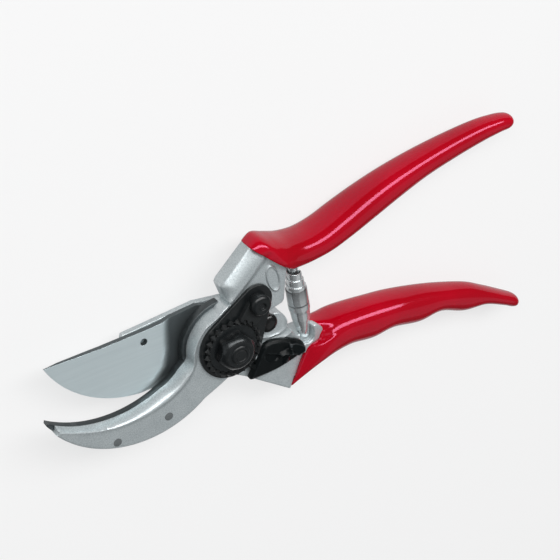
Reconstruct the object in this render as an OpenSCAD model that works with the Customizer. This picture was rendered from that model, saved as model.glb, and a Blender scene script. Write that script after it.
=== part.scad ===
// Bypass pruning shears, lying flat with the jaws and handles fully open.
// Origin: the pivot axis, on the flat face of the bolt head that the shears rest on.
// +X runs from the pivot to the handles, +Y to the hook handle, +Z to the nut.

/* [Stack along the pivot] */
// Height of the centre bolt's head
bolt_head_h = 2.0; // [1.5:0.1:3]
// Thickness of the thrust washer under the bolt head
thrust_washer_t = 0.6; // [0.4:0.1:1.2]
// Thickness of the blade handle round the pivot
blade_plate_t = 6.0; // [5:0.2:8]
// Thickness of the cutting blade
blade_t = 3.0; // [2.2:0.1:3.8]
// Air gap between the cutting blade and the hook side
slide_gap = 0.2; // [0.1:0.05:0.4]
// Thickness of the steel counter-blade
counter_t = 3.0; // [2.2:0.1:3.6]
// Thickness of the forged hook above the counter-blade
hook_front_t = 4.0; // [3.4:0.1:5.2]
// Height of the rounded rib above the hook's flat front
rib_h = 2.2; // [1:0.1:3]
// Thickness of the lock plate
lock_plate_t = 1.4; // [1:0.1:2]
// Thickness of the nut's toothed ring
ring_t = 1.3; // [1:0.1:2]
// Height of the nut's hexagon
hex_h = 5.2; // [4:0.1:7]
// How far the bolt's end stands out of the nut
bolt_end_h = 0.6; // [0.2:0.1:1.5]

/* [Pivot] */
// Radius of the centre bolt's shaft
bolt_r = 4.0; // [3:0.1:4.8]
// Radius of the centre bolt's head
bolt_head_r = 8.5; // [7:0.1:10]
// Radial running clearance between the bolt and the blade side
pivot_clear = 0.05; // [0.02:0.01:0.1]
// Hexagon width across flats
hex_af = 14; // [12:0.5:16]
// Outer radius of the nut's toothed ring
ring_r = 12; // [11:0.1:12.6]
// Number of teeth round the nut
ring_teeth = 24; // [20:2:36]
// Depth of a ring tooth
tooth_depth = 1.1; // [0.6:0.1:1.3]
// Radius of the lock plate round the pivot
plate_r = 13.2; // [12.8:0.1:14]
// Place of the segment screw
screw_x = 12.2; // [11.8:0.1:12.8]
// Place of the segment screw
screw_y = 15.3; // [14.8:0.1:15.9]
// Radius of the segment screw's head
screw_head_r = 4.2; // [3.5:0.1:4.6]
// Height of the segment screw's head
screw_head_h = 3.4; // [2:0.1:4]
// Radius of the segment screw's thread
screw_r = 2.5; // [1.5:0.1:3]

/* [Jaws] */
// Distance from the pivot to the blade's tip
jaw_reach = 71; // [61:0.5:85.5]
// Radius of the cutting edge's arc
edge_r = 43.1; // [41:0.1:45]
// Radius of the counter-blade's inner arc
inner_r = 44; // [42.5:0.1:45.5]
// Radius of the hook's outer arc
outer_r = 43.1; // [42:0.1:44]
// Width of the ground bevel along the cutting edge
bevel_w = 5; // [3:0.1:7]
// Thickness left at the cutting edge
edge_t = 0.3; // [0.2:0.1:0.6]
// Radius of the small hole in the blade
blade_hole_r = 1.5; // [1:0.1:2]
// How far the backing arm reaches along the blade's spine
arm_reach = 39; // [33:0.5:42]
// Thickness of the backing arm
arm_t = 4; // [3:0.1:5]
// Radius of the counter-blade's rivets
rivet_r = 1.7; // [1.2:0.1:2]
// Radius of the blade's locating pins
blade_pin_r = 1.5; // [1:0.1:2]

/* [Grips] */
// Thickness of the red coating on the handles
coat_t = 1.4; // [1:0.1:2]
// Distance from the pivot to the end of the hook grip
handle_reach = 137; // [115:1:165]

/* [Thumb catch] */
// Thickness of the catch plate
catch_t = 2.6; // [2:0.1:3.2]
// Height of the thumb ridge above the catch plate
catch_ridge_h = 2.2; // [1:0.1:3]
// Radius of the catch's pin
catch_pin_r = 2.5; // [2:0.1:3]
// Width of the tooth that locks the jaws
tooth_w = 1.8; // [1.4:0.1:2]

/* [Spring and cushion] */
// Largest radius of the volute spring
spring_r = 4.7; // [4:0.1:5]
// Thickness of the spring's steel strip
strip_t = 0.6; // [0.4:0.1:0.9]
// Radius of the studs that hold the spring's ends
stud_r = 1.5; // [1.2:0.1:1.6]
// Radius of the rubber cushion
cushion_r = 3.6; // [3:0.1:3.8]

/* [Hidden] */

$fn = 96;
CUT = 0.5;      // how far a cutting shape runs past the face it cuts
FIT = 0.05;     // play between a turning piece and what it turns in
LAP = 0.3;      // how far pieces of one solid sink into each other
SINK = 0.02;    // how far a straight side cuts inside the arcs that it joins

// Heights of the faces along the pivot
z_washer = bolt_head_h;
z_plate = z_washer + thrust_washer_t;
z_blade = z_plate + blade_plate_t;
z_blade_top = z_blade + blade_t;
z_hook = z_blade_top + slide_gap;
z_counter_top = z_hook + counter_t;
z_front = z_counter_top + hook_front_t;
z_ring = z_front + lock_plate_t;
z_hex = z_ring + ring_t;
z_nut_top = z_hex + hex_h;
z_bolt_end = z_nut_top + bolt_end_h;

// Jaws in plan, drawn for a blade tip at DRAWN_REACH and scaled to jaw_reach about the pivot
DRAWN_REACH = 71;
JAW_K = jaw_reach / DRAWN_REACH;
EDGE_C = JAW_K * [-31, edge_r - 10.5];
INNER_C = JAW_K * [-47.8, inner_r - 13.5];
OUTER_C = JAW_K * [-37.7, outer_r - 26.6];
THROAT_C = JAW_K * [-33.6, 6.9];
THROAT_R = JAW_K * 16.9;
HOOK_TIP = JAW_K * [-74.2, -4.7];
HOOK_SETBACK = 3;
SPINE = JAW_K * [[-76, 16.2], [-48, 15.2], [-28, 15.6], [-8, 17]];
BLADE_HOLE = JAW_K * [-31.1, 11.1];
RIVETS = JAW_K * [[-50.3, -22], [-28.6, -20]];
BLADE_BOSS_R = 15;
BLADE_PINS = [[-11.6, 6.4], [10.3, -6.2]];

// Head of the hook handle: outer wall, throat circle, rim and lower right edge
THROAT_RIM_R = 18.2;
RIM_R = 12.8;
COUNTER_END_R = 15;
HOOK_MOUTH = [[13.5, 38.2], [27.2, 23.7]];
HOOK_WALL = [0.4, 26.9];
RIB_GAP = 1.2;
SCREW_C = [screw_x, screw_y];
SCREW_END_R = 6.8;
SCREW_DEPTH = 5;
HEX_TURN = 12;
HEX_CHAMFER = 0.7;
LUG_R = 15;
LUG_A = [-49.9, -42];

// Head of the blade handle
HANDLE_BOSS_R = 15.5;
DECK_T = 3.8;
DECK_R = 15.6;
BLADE_MOUTH = [[27.5, -34], [40, -12.8]];
CUSHION_C = [19.8, -1.5];
CUSHION_BOSS_C = [22.3, -4.6];
CUSHION_BOSS_R = 6;
CUSHION_TOP = 1.6;
CUSHION_FLOOR = 2;
CATCH_C = [27, -17];
CATCH_TIP = [7.3, -13.7];
TOOTH_ROOT = [12.5, -18.5];
CATCH_WASHER_T = 0.4;
CATCH_BACK_R = 4.4;
CATCH_BACK_T = 1.2;
z_deck = z_blade + DECK_T;
z_catch = z_deck + CATCH_WASHER_T;
z_catch_top = z_catch + catch_t;

// Axis of the spring, from the hook handle's stud to the blade handle's stud
SPRING_Z = 9.3; // also the middle of both grips, which touch the ground at their thickest stations
SPRING_TOP = [34.2, 18.6];
SPRING_END = [36.4, -12.5];
STUD_L = 5;
STUD_ROOT = 5;

// Stations of the grips: outer rail x y, inner rail x y, mid height, half height
TANG_STEP = 1;       // how far the blade handle's tang starts above the bottom of its head
HOOK_STATIONS = [
    [13.5, 38.2, 27.2, 23.7, (z_hook + z_ring) / 2, (z_ring - z_hook) / 2 + coat_t],
    [17.6, 39.4, 28.6, 21.8, 15, 7],
    [23, 36.8, 31, 20, 13, 8],
    [30.5, 33, 34.5, 19, 10.8, 8.8],
    [39, 31.2, 39.5, 18.7, 9.6, 9.2],
    [47, 32.4, 48.5, 19.8, 9.3, 9.3],
    [56, 35.8, 58.5, 22.8, 9.3, 9.1],
    [66, 39.4, 69.5, 26.5, 9.3, 8.4],
    [78, 42.8, 81.5, 30.8, 9.3, 7.6],
    [92, 45.6, 94.5, 35, 9.3, 6.7],
    [107, 47.7, 108.5, 38, 9.3, 5.8],
    [121, 48.8, 121.5, 40.2, 9.3, 5],
    [130, 48.4, 130.5, 41.2, 9.3, 4.4],
    [135, 47, 135, 42, 9.3, 3.4],
    [137, 45.6, 137, 43.4, 9.3, 1.6]
];
BLADE_STATIONS = [
    [27.5, -34, 40, -12.8, (z_plate + z_deck + TANG_STEP) / 2, (z_deck - z_plate - TANG_STEP) / 2 + coat_t],
    [33.5, -31, 42.5, -11.5, 8.8, 7.8],
    [39.5, -28.4, 46.5, -10.6, 9.3, 9],
    [46, -26.6, 51, -10.2, 9.3, 9.3],
    [54, -26, 57, -10.4, 9.3, 9.1],
    [64, -27.6, 67, -11.4, 9.3, 8.8],
    [74, -26.9, 78, -13, 9.3, 8.3],
    [87, -29.9, 90, -15.5, 9.3, 7.4],
    [98, -29.4, 101, -18.8, 9.3, 6.5],
    [110, -34.4, 114, -23.4, 9.3, 5.7],
    [121, -35.9, 123, -28.6, 9.3, 5],
    [130, -40, 131.5, -34.4, 9.3, 4.2],
    [135.5, -42.6, 137, -39.2, 9.3, 3.2],
    [138, -43, 138.6, -41.6, 9.3, 1.6]
];
RING_N = 24;         // points round a grip's section
SECTION_POWER = 2.3; // squareness of a grip's section
SUBDIV = 2;          // rings between two stations
DRAWN_END = 137;     // x of the last hook station, for a handle_reach of the same length
STRETCH_FROM = 60;   // only stations beyond this x move when the handles get longer
ROOT_INSET = 2;      // how much thinner a tang's root is where it sinks into the head
ROOT_L = 4;          // length of that root

function arc(c, r, a0, a1, n) = [for (i = [0:n]) let (a = a0 + (a1 - a0) * i / n) c + r * [cos(a), sin(a)]];
function polar(r, a) = r * [cos(a), sin(a)];
function mid(a, b) = (a + b) / 2;
function unit(v) = v / norm(v);
function left_of(v) = [-v[1], v[0]];

// Catmull-Rom interpolation between the stations b and c
function blend4(a, b, c, d, t) =
    0.5 * (2 * b + (c - a) * t + (2 * a - 5 * b + 4 * c - d) * t * t + (3 * b - a - 3 * c + d) * t * t * t);
function at(list, i) = list[max(0, min(len(list) - 1, i))];
function smooth(list) = [
    for (i = [0:len(list) - 2], k = [0:SUBDIV - 1])
        blend4(at(list, i - 1), list[i], list[i + 1], at(list, i + 2), k / SUBDIV),
    list[len(list) - 1]
];
function stretched(list) = [
    for (s = list)
        let (k = max(0, s[0] - STRETCH_FROM) / (DRAWN_END - STRETCH_FROM) * (handle_reach - DRAWN_END))
            [s[0] + k, s[1], s[2] + k, s[3], s[4], s[5]]
];
function signed_pow(v, p) = sign(v) * pow(abs(v), p);

// One closed ring of a grip, shrunk by inset and moved back along the handle by shift
function ring(s, inset, shift) =
    let (
        outer = [s[0], s[1]],
        inner = [s[2], s[3]],
        u = unit(outer - inner),
        m = mid(outer, inner) + left_of(u) * shift,
        w = norm(outer - inner) / 2 - inset,
        h = s[5] - inset
    )
    [
        for (i = [0:RING_N - 1])
            let (
                a = 360 * i / RING_N,
                pu = w * signed_pow(cos(a), 2 / SECTION_POWER),
                pz = h * signed_pow(sin(a), 2 / SECTION_POWER)
            )
            [m[0] + u[0] * pu, m[1] + u[1] * pu, s[4] + pz]
    ];

// Closed solid through a list of rings
module skin(rings) {
    n = len(rings);
    last = (n - 1) * RING_N;
    points = [for (r = rings, p = r) p];
    sides = [
        for (j = [0:n - 2], i = [0:RING_N - 1])
            let (a = j * RING_N + i, b = j * RING_N + (i + 1) % RING_N)
                each [[b, a, a + RING_N], [b, a + RING_N, b + RING_N]]
    ];
    start_cap = [[for (i = [0:RING_N - 1]) i]];
    end_cap = [[for (i = [RING_N - 1:-1:0]) last + i]];
    polyhedron(points = points, faces = concat(start_cap, sides, end_cap));
}

// Outside of a grip; side is +1 on the hook handle and -1 on the blade handle
module grip_outside(stations, side) {
    list = smooth(stretched(stations));
    rings = [for (s = list) ring(s, 0, 0)];
    skin(side > 0 ? rings : [for (r = rings) [for (i = [RING_N - 1:-1:0]) r[i]]]);
}

// Forged tang that fills a grip, with a root that sinks into the head
module tang(stations, side) {
    list = smooth(stretched(stations));
    body = [for (i = [1:len(list) - 3]) ring(list[i], coat_t, 0)];
    collar = ring(list[0], coat_t, side);
    root = ring(list[0], coat_t + ROOT_INSET, side * ROOT_L);
    rings = concat([root, collar], body);
    skin(side > 0 ? rings : [for (r = rings) [for (i = [RING_N - 1:-1:0]) r[i]]]);
}

module slab(z0, z1) {
    translate([0, 0, z0])
        linear_extrude(z1 - z0)
            children();
}

module disc(c, r, z0, z1) {
    translate([c[0], c[1], z0])
        cylinder(r = r, h = z1 - z0);
}

module circle_at(c, r) {
    translate(c)
        circle(r = r);
}

// Hook jaw: the crescent between the outer arc and the inner arc, with its throat
module jaw_2d(setback) {
    difference() {
        intersection() {
            circle_at(OUTER_C, JAW_K * outer_r);
            polygon(JAW_K * [[-80, -30], [-12, -30], [-12, 2], [-80, 2]]);
        }
        circle_at(INNER_C, JAW_K * inner_r);
        circle_at(THROAT_C, THROAT_R);
        translate(HOOK_TIP + [setback, 0])
            polygon([[0.4, 1.4], [-1, -3.6], [-8, -3.6], [-8, 6], [0.4, 6]]);
    }
}

// Head of the hook handle without its jaw
module hook_head_2d() {
    difference() {
        union() {
            circle_at([0, 0], THROAT_RIM_R);
            polygon([
                [-17.8, 2], [-17.8, -4], [-14, -19.2], [-7, -16.2], [0, -RIM_R], polar(RIM_R, 0),
                [15.7, 7.7], [21.7, 8.9], [23.6, 9.4], [24.6, 10.6], [26.2, 19.7],
                HOOK_MOUTH[1], HOOK_MOUTH[0], HOOK_WALL, HOOK_WALL + [-0.9, -1.5], [1.5, 18]
            ]);
        }
        difference() {
            polygon([
                [0, -RIM_R], [-7, -16.2], [-14, -19.2], [-14, -21], [20, -21], [20, 8.4], [15.7, 7.7],
                polar(RIM_R, 8), [4, 0]
            ]);
            circle_at([0, 0], RIM_R);
            lug_2d();
        }
    }
}

// Lug on the rim that the thumb catch's tooth locks behind
module lug_2d() {
    polygon([
        polar(RIM_R - 1, LUG_A[0]), polar(LUG_R, LUG_A[0]), polar(LUG_R, LUG_A[1]), polar(RIM_R - 1, LUG_A[1])
    ]);
}

// Raised rib from the mouth of the grip round the lock plate to the jaw
module rib_2d() {
    inner_edge = plate_r + RIB_GAP;
    bow_c = THROAT_C + [0, 3];
    wall = unit(HOOK_MOUTH[0] - HOOK_WALL);
    difference() {
        intersection() {
            union() {
                hook_head_2d();
                jaw_2d(HOOK_SETBACK);
            }
            union() {
                difference() {
                    circle_at([0, 0], THROAT_RIM_R);
                    circle_at([0, 0], inner_edge);
                    polygon([[0, 0], polar(40, 100), [40, 40], [40, -40], polar(40, -120)]);
                }
                polygon([
                    polar(inner_edge, 123), polar(THROAT_RIM_R, 100), HOOK_WALL + 4 * wall + [1.5, -3],
                    HOOK_MOUTH[0] + [2.6, -2.6], HOOK_MOUTH[0] + [7.6, -8.2]
                ]);
                difference() {
                    circle_at(bow_c, THROAT_R + 13);
                    circle_at(bow_c, THROAT_R + 9.5);
                    polygon(JAW_K * [[-80, -4], [-80, 40], [20, 40], [20, -19], [-12, -19], [-16, -2]]);
                }
            }
        }
        circle_at([0, 0], inner_edge);
    }
}

module hook_handle() {
    color("silver")
        difference() {
            union() {
                slab(z_counter_top, z_front) {
                    jaw_2d(HOOK_SETBACK);
                    hook_head_2d();
                }
                slab(z_hook, z_counter_top + LAP)
                    difference() {
                        hook_head_2d();
                        counter_blade_2d();
                    }
                slab(z_front - LAP, z_front + rib_h)
                    rib_2d();
                tang(HOOK_STATIONS, 1);
                spring_stud(SPRING_TOP, SPRING_END);
            }
            disc([0, 0], bolt_r, z_hook - CUT, z_front + CUT);
            disc(SCREW_C, screw_r, z_front - SCREW_DEPTH, z_front + CUT);
            for (p = RIVETS)
                disc(p, rivet_r, z_counter_top - CUT, z_front + CUT);
        }
}

module hook_grip() {
    color("crimson")
        difference() {
            grip_outside(HOOK_STATIONS, 1);
            tang(HOOK_STATIONS, 1);
            spring_stud(SPRING_TOP, SPRING_END);
        }
}

module counter_blade_2d() {
    difference() {
        union() {
            jaw_2d(0);
            polygon([[-17.6, -1], [-20, -12], [-14, -19.2], [-7, -16.2], [-10, -8], [-14, -4]]);
        }
        circle_at([0, 0], COUNTER_END_R);
        circle_at(THROAT_C, THROAT_R);
    }
}

module counter_blade() {
    color("slategray")
        difference() {
            slab(z_hook, z_counter_top)
                counter_blade_2d();
            for (p = RIVETS)
                disc(p, rivet_r, z_hook - CUT, z_counter_top + CUT);
        }
}

module counter_blade_rivets() {
    color("gray")
        for (p = RIVETS)
            disc(p, rivet_r, z_hook, z_front);
}

module centre_bolt() {
    slot_w = 1.6;
    slot_depth = 0.8;
    color("dimgray")
        difference() {
            union() {
                disc([0, 0], bolt_head_r, 0, bolt_head_h);
                disc([0, 0], bolt_r, 0, z_bolt_end);
            }
            translate([-bolt_r + 1, -slot_w / 2, z_bolt_end - slot_depth])
                cube([2 * bolt_r - 2, slot_w, slot_depth + CUT]);
        }
}

module thrust_washer() {
    color("dimgray")
        difference() {
            disc([0, 0], bolt_head_r - 0.5, z_washer, z_plate - FIT);
            disc([0, 0], bolt_r, z_washer - CUT, z_plate + CUT);
        }
}

// Outline of the toothed ring, grown by a play so that it also cuts the segment
module ring_2d(play) {
    pitch = 2 * PI * ring_r / ring_teeth;
    root = 0.5 * pitch + play;
    crest = 0.18 * pitch + play;
    circle_at([0, 0], ring_r - tooth_depth + play);
    for (i = [0:ring_teeth - 1])
        rotate(i * 360 / ring_teeth)
            polygon([
                [ring_r - 2 * tooth_depth, -root], [ring_r + play, -crest],
                [ring_r + play, crest], [ring_r - 2 * tooth_depth, root]
            ]);
}

module centre_nut() {
    hex_r = hex_af / 2 / cos(30);
    color("dimgray")
        difference() {
            union() {
                slab(z_ring, z_hex)
                    ring_2d(0);
                translate([0, 0, z_hex - LAP])
                    rotate(HEX_TURN)
                        intersection() {
                            cylinder(r = hex_r, h = hex_h + LAP, $fn = 6);
                            cylinder(r1 = hex_r + hex_h, r2 = hex_r - HEX_CHAMFER, h = hex_h + LAP);
                        }
            }
            disc([0, 0], bolt_r, z_ring - CUT, z_nut_top + CUT);
        }
}

// Round-ended plate from the pivot to the segment screw
module plate_blank() {
    reach = norm(SCREW_C);
    bearing = atan2(screw_y, screw_x);
    spread = acos((plate_r - SCREW_END_R) / reach);
    big = plate_r - SINK;
    small = SCREW_END_R - SINK;
    disc([0, 0], plate_r, z_front, z_ring);
    disc(SCREW_C, SCREW_END_R, z_front, z_ring);
    slab(z_front, z_ring)
        polygon([
            [0, 0], polar(big, bearing + spread), SCREW_C + polar(small, bearing + spread), SCREW_C,
            SCREW_C + polar(small, bearing - spread), polar(big, bearing - spread)
        ]);
}

module lock_plate() {
    color("darkslategray")
        difference() {
            plate_blank();
            disc([0, 0], bolt_r, z_front - CUT, z_ring + CUT);
            disc(SCREW_C, screw_r, z_front - CUT, z_ring + CUT);
        }
}

// Segment that grips the nut's teeth, held down by the segment screw
module toothed_segment() {
    width = SCREW_END_R - 1;
    side = unit(left_of(SCREW_C)) * (width - SINK);
    step = 360 / ring_teeth;
    first = step * round(30 / step);
    last = step * round(70 / step);
    color("darkslategray")
        difference() {
            union() {
                disc(SCREW_C, width, z_ring, z_hex);
                slab(z_ring, z_hex)
                    polygon([
                        SCREW_C + side, SCREW_C, SCREW_C - side, polar(ring_r + 1, first),
                        polar(ring_r - tooth_depth, first), polar(ring_r - tooth_depth, last),
                        polar(ring_r + 1, last)
                    ]);
            }
            slab(z_ring - CUT, z_hex + CUT)
                ring_2d(FIT);
            disc(SCREW_C, screw_r, z_ring - CUT, z_hex + CUT);
        }
}

module segment_screw() {
    socket_af = 3;
    socket_depth = 2;
    dome = 0.8;
    z_head_top = z_hex + screw_head_h;
    color("dimgray")
        difference() {
            union() {
                disc(SCREW_C, screw_r, z_front - SCREW_DEPTH, z_hex + LAP);
                disc(SCREW_C, screw_head_r, z_hex, z_head_top - dome);
                translate([screw_x, screw_y, z_head_top - dome])
                    cylinder(r1 = screw_head_r, r2 = screw_head_r - dome, h = dome);
            }
            translate([screw_x, screw_y, z_head_top - socket_depth])
                cylinder(r = socket_af / 2 / cos(30), h = socket_depth + CUT, $fn = 6);
        }
}

// Stud on a handle's inner side that the spring's end sits over
module spring_stud(from, to) {
    run = norm(to - from);
    dir = (to - from) / run;
    translate([from[0] - dir[0] * STUD_ROOT, from[1] - dir[1] * STUD_ROOT, SPRING_Z])
        rotate([0, 90, atan2(dir[1], dir[0])])
            cylinder(r = stud_r, h = STUD_ROOT + STUD_L);
}

// Stepped volute spring: a strip wound so that its turns telescope
module volute_spring() {
    run = norm(SPRING_END - SPRING_TOP);
    dir = (SPRING_END - SPRING_TOP) / run;
    small_r = spring_r - 2.2;
    mid_r = spring_r - 1;
    profile = [
        [small_r, 0], [small_r, 2.4], [mid_r, 2.4], [mid_r, 4.6], [spring_r, 4.6],
        [spring_r, 15], [small_r + 0.4, 25], [small_r, run]
    ];
    inside = [for (i = [len(profile) - 1:-1:0]) [profile[i][0] - strip_t, profile[i][1]]];
    color("gainsboro")
        translate([SPRING_TOP[0], SPRING_TOP[1], SPRING_Z])
            rotate([0, 90, atan2(dir[1], dir[0])])
                rotate_extrude()
                    polygon(concat(profile, inside));
}

// Outline of the cutting blade
module blade_2d() {
    intersection() {
        circle_at(EDGE_C, JAW_K * edge_r);
        polygon(concat(SPINE, [[0, BLADE_BOSS_R - 1], [0, -BLADE_BOSS_R + 3], JAW_K * [-76, -12]]));
    }
    circle_at([0, 0], BLADE_BOSS_R);
}

module cutting_blade() {
    rim = JAW_K * edge_r;
    bevel = [
        [rim - bevel_w, 0], [rim + CUT, -CUT], [rim + CUT, blade_t - edge_t], [rim, blade_t - edge_t]
    ];
    color("lightslategray")
        difference() {
            slab(z_blade, z_blade_top)
                blade_2d();
            intersection() {
                translate([EDGE_C[0], EDGE_C[1], z_blade])
                    rotate_extrude($fn = 180)
                        polygon(bevel);
                slab(z_blade - 1, z_blade_top)
                    polygon(JAW_K * [[-80, 30], [-20, 12], [-20, -14], [-80, -14]]);
            }
            disc([0, 0], bolt_r + pivot_clear, z_blade - CUT, z_blade_top + CUT);
            disc(BLADE_HOLE, blade_hole_r, z_blade - CUT, z_blade_top + CUT);
            for (p = BLADE_PINS)
                disc(p, blade_pin_r, z_blade - CUT, z_blade_top + CUT);
        }
}

module blade_pins() {
    color("gray")
        for (p = BLADE_PINS)
            disc(p, blade_pin_r, z_plate, z_blade_top - slide_gap / 2);
}

// Backing arm along the blade's spine
module arm_2d() {
    polygon([
        [-arm_reach + 1, 15], SPINE[2], SPINE[3], [2, 15.3], [-4, -12], [-15, -2], [-24, 5.6],
        [-arm_reach + 2, 9.4], [-arm_reach, 11]
    ]);
}

// Outline of the blade handle's head, right of the pivot
module handle_head_2d() {
    polygon([
        [0, HANDLE_BOSS_R - 1], [9, 10], [17, 2], [24, -2], [28.3, -5.5], [30.5, -10], [32.2, -12.9],
        BLADE_MOUTH[1], BLADE_MOUTH[0], [7.6, -21.4], [-2, -15]
    ]);
}

// Deck that carries the catch and the cushion, outside the hook head's sweep
module deck_2d() {
    difference() {
        union() {
            polygon([
                [12, -4], [20, -6], [28.3, -6.5], [30.5, -10], [32.2, -12.9], BLADE_MOUTH[1], BLADE_MOUTH[0],
                [7.6, -21.4], [2, -17.8], [6, -12]
            ]);
            circle_at(CUSHION_BOSS_C, CUSHION_BOSS_R);
        }
        circle_at([0, 0], DECK_R);
    }
}

module blade_handle() {
    color("silver")
        difference() {
            union() {
                slab(z_plate, z_blade) {
                    circle_at([0, 0], HANDLE_BOSS_R);
                    handle_head_2d();
                    circle_at(CUSHION_BOSS_C, CUSHION_BOSS_R);
                }
                slab(z_blade - arm_t, z_blade)
                    arm_2d();
                slab(z_blade - LAP, z_deck)
                    difference() {
                        deck_2d();
                        circle_at([0, 0], BLADE_BOSS_R + 0.2);
                    }
                tang(BLADE_STATIONS, -1);
                spring_stud(SPRING_END, SPRING_TOP);
            }
            disc([0, 0], bolt_r + pivot_clear, z_plate - CUT, z_blade + CUT);
            disc(CUSHION_C, cushion_r, z_plate + CUSHION_FLOOR, z_deck + CUT);
            disc(CATCH_C, catch_pin_r, z_plate - CUT, z_deck + CUT);
            disc(CATCH_C, CATCH_BACK_R, z_plate - CUT, z_plate + CATCH_BACK_T);
            for (p = BLADE_PINS)
                disc(p, blade_pin_r, z_plate - CUT, z_blade + CUT);
        }
}

module blade_grip() {
    color("crimson")
        difference() {
            grip_outside(BLADE_STATIONS, -1);
            tang(BLADE_STATIONS, -1);
            spring_stud(SPRING_END, SPRING_TOP);
        }
}

module cushion() {
    dome = 1.4;
    color("black") {
        disc(CUSHION_C, cushion_r, z_plate + CUSHION_FLOOR, z_deck + CUSHION_TOP - dome);
        translate([CUSHION_C[0], CUSHION_C[1], z_deck + CUSHION_TOP - dome])
            cylinder(r1 = cushion_r, r2 = cushion_r - dome, h = dome);
    }
}

module catch_pin() {
    color("gray")
        disc(CATCH_C, catch_pin_r, z_plate + CATCH_BACK_T, z_catch_top);
}

// Riveted ring that closes the pin's hole on the back
module catch_back_ring() {
    color("gray")
        disc(CATCH_C, CATCH_BACK_R, z_plate, z_plate + CATCH_BACK_T);
}

module catch_washer() {
    color("gray")
        difference() {
            disc(CATCH_C, catch_pin_r + 2.4, z_deck, z_catch - FIT);
            disc(CATCH_C, catch_pin_r, z_deck - CUT, z_catch + CUT);
        }
}

module catch_2d() {
    tip_side = left_of(unit(CATCH_TIP - TOOTH_ROOT)) * tooth_w / 2;
    polygon(concat(
        [[9.2, -21.4], [10.6, -22.3], [30.6, -20.7]],
        arc([31, -18], 2.6, -60, 40, 6),
        [[32.4, -14.6], [29.6, -12.4], [24.4, -9]],
        arc([21, -13], 4.4, 70, 130, 5),
        [[15.4, -11.4], [14.2, -14.2], [11.4, -18]]
    ));
    polygon([
        TOOTH_ROOT - tip_side, CATCH_TIP - tip_side, CATCH_TIP + tip_side, TOOTH_ROOT + tip_side
    ]);
}

module thumb_catch() {
    color("darkslategray")
        difference() {
            union() {
                slab(z_catch, z_catch_top)
                    catch_2d();
                slab(z_catch_top - LAP, z_catch_top + catch_ridge_h)
                    difference() {
                        polygon(concat(
                            arc([20, -11], 4, 170, 250, 4), arc([28.6, -15.6], 3.2, 255, 400, 8)
                        ));
                        circle_at(CATCH_C, catch_pin_r + 0.6);
                    }
            }
            disc(CATCH_C, catch_pin_r + FIT, z_catch - CUT, z_catch_top + CUT);
        }
}

hook_handle();
hook_grip();
counter_blade();
counter_blade_rivets();
centre_bolt();
centre_nut();
lock_plate();
toothed_segment();
segment_screw();
thrust_washer();
blade_handle();
blade_grip();
cutting_blade();
blade_pins();
cushion();
catch_pin();
catch_back_ring();
catch_washer();
thumb_catch();
volute_spring();
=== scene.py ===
import math

import bpy
import numpy as np
from mathutils import Matrix, Vector
from mathutils.geometry import delaunay_2d_cdt


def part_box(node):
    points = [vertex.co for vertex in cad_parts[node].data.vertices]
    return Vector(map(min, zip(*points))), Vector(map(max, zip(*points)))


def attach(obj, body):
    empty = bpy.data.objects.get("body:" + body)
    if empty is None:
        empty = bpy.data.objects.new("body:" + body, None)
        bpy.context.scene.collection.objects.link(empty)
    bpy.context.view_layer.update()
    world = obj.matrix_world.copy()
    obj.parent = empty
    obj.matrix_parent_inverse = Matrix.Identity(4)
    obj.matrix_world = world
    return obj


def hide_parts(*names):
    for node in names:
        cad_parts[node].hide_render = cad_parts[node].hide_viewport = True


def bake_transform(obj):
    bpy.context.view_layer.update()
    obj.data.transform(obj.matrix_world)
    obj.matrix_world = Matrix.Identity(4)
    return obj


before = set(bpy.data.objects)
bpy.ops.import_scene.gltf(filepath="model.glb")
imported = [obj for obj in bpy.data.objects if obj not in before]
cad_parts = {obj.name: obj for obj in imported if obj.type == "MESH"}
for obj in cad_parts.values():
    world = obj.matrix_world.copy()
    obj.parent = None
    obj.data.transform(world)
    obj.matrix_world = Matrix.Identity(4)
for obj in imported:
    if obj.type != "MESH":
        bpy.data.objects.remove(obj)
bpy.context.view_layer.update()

MM = 0.001


# ---------------------------------------------------------------- measures from the frame, in mm
def low(node):
    return np.array(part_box(node)[0]) / MM


def high(node):
    return np.array(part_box(node)[1]) / MM


def middle(node):
    return (low(node) + high(node)) / 2


Z_PLATE = low("blade_pins")[2]
Z_BLADE, Z_BLADE_TOP = low("cutting_blade")[2], high("cutting_blade")[2]
Z_HOOK, Z_COUNTER = low("counter_blade")[2], high("counter_blade")[2]
Z_FRONT, Z_RING = low("lock_plate")[2], high("lock_plate")[2]
Z_HEX, Z_NUT_TOP = high("toothed_segment")[2], high("centre_nut")[2]
Z_BOLT_END = high("centre_bolt")[2]
Z_DECK = low("catch_washer")[2]
Z_CATCH = low("thumb_catch")[2]
RING_R = high("centre_nut")[0]
SCREW = middle("segment_screw")[:2]
SCREW_R = (high("segment_screw")[0] - low("segment_screw")[0]) / 2
CATCH_PIN = middle("catch_pin")[:2]
CUSHION = middle("cushion")
RIVET_R = 1.7
GRIP_MID = 9.3
CATCH_TOP = Z_CATCH + 2.6
BACKING_ARM = 4.0


# ---------------------------------------------------------------- plan geometry
def polar(radius, degrees):
    return radius * np.array([math.cos(math.radians(degrees)), math.sin(math.radians(degrees))])


def arc(centre, radius, start, stop, count):
    return [np.array(centre) + polar(radius, a) for a in np.linspace(start, stop, count)]


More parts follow.
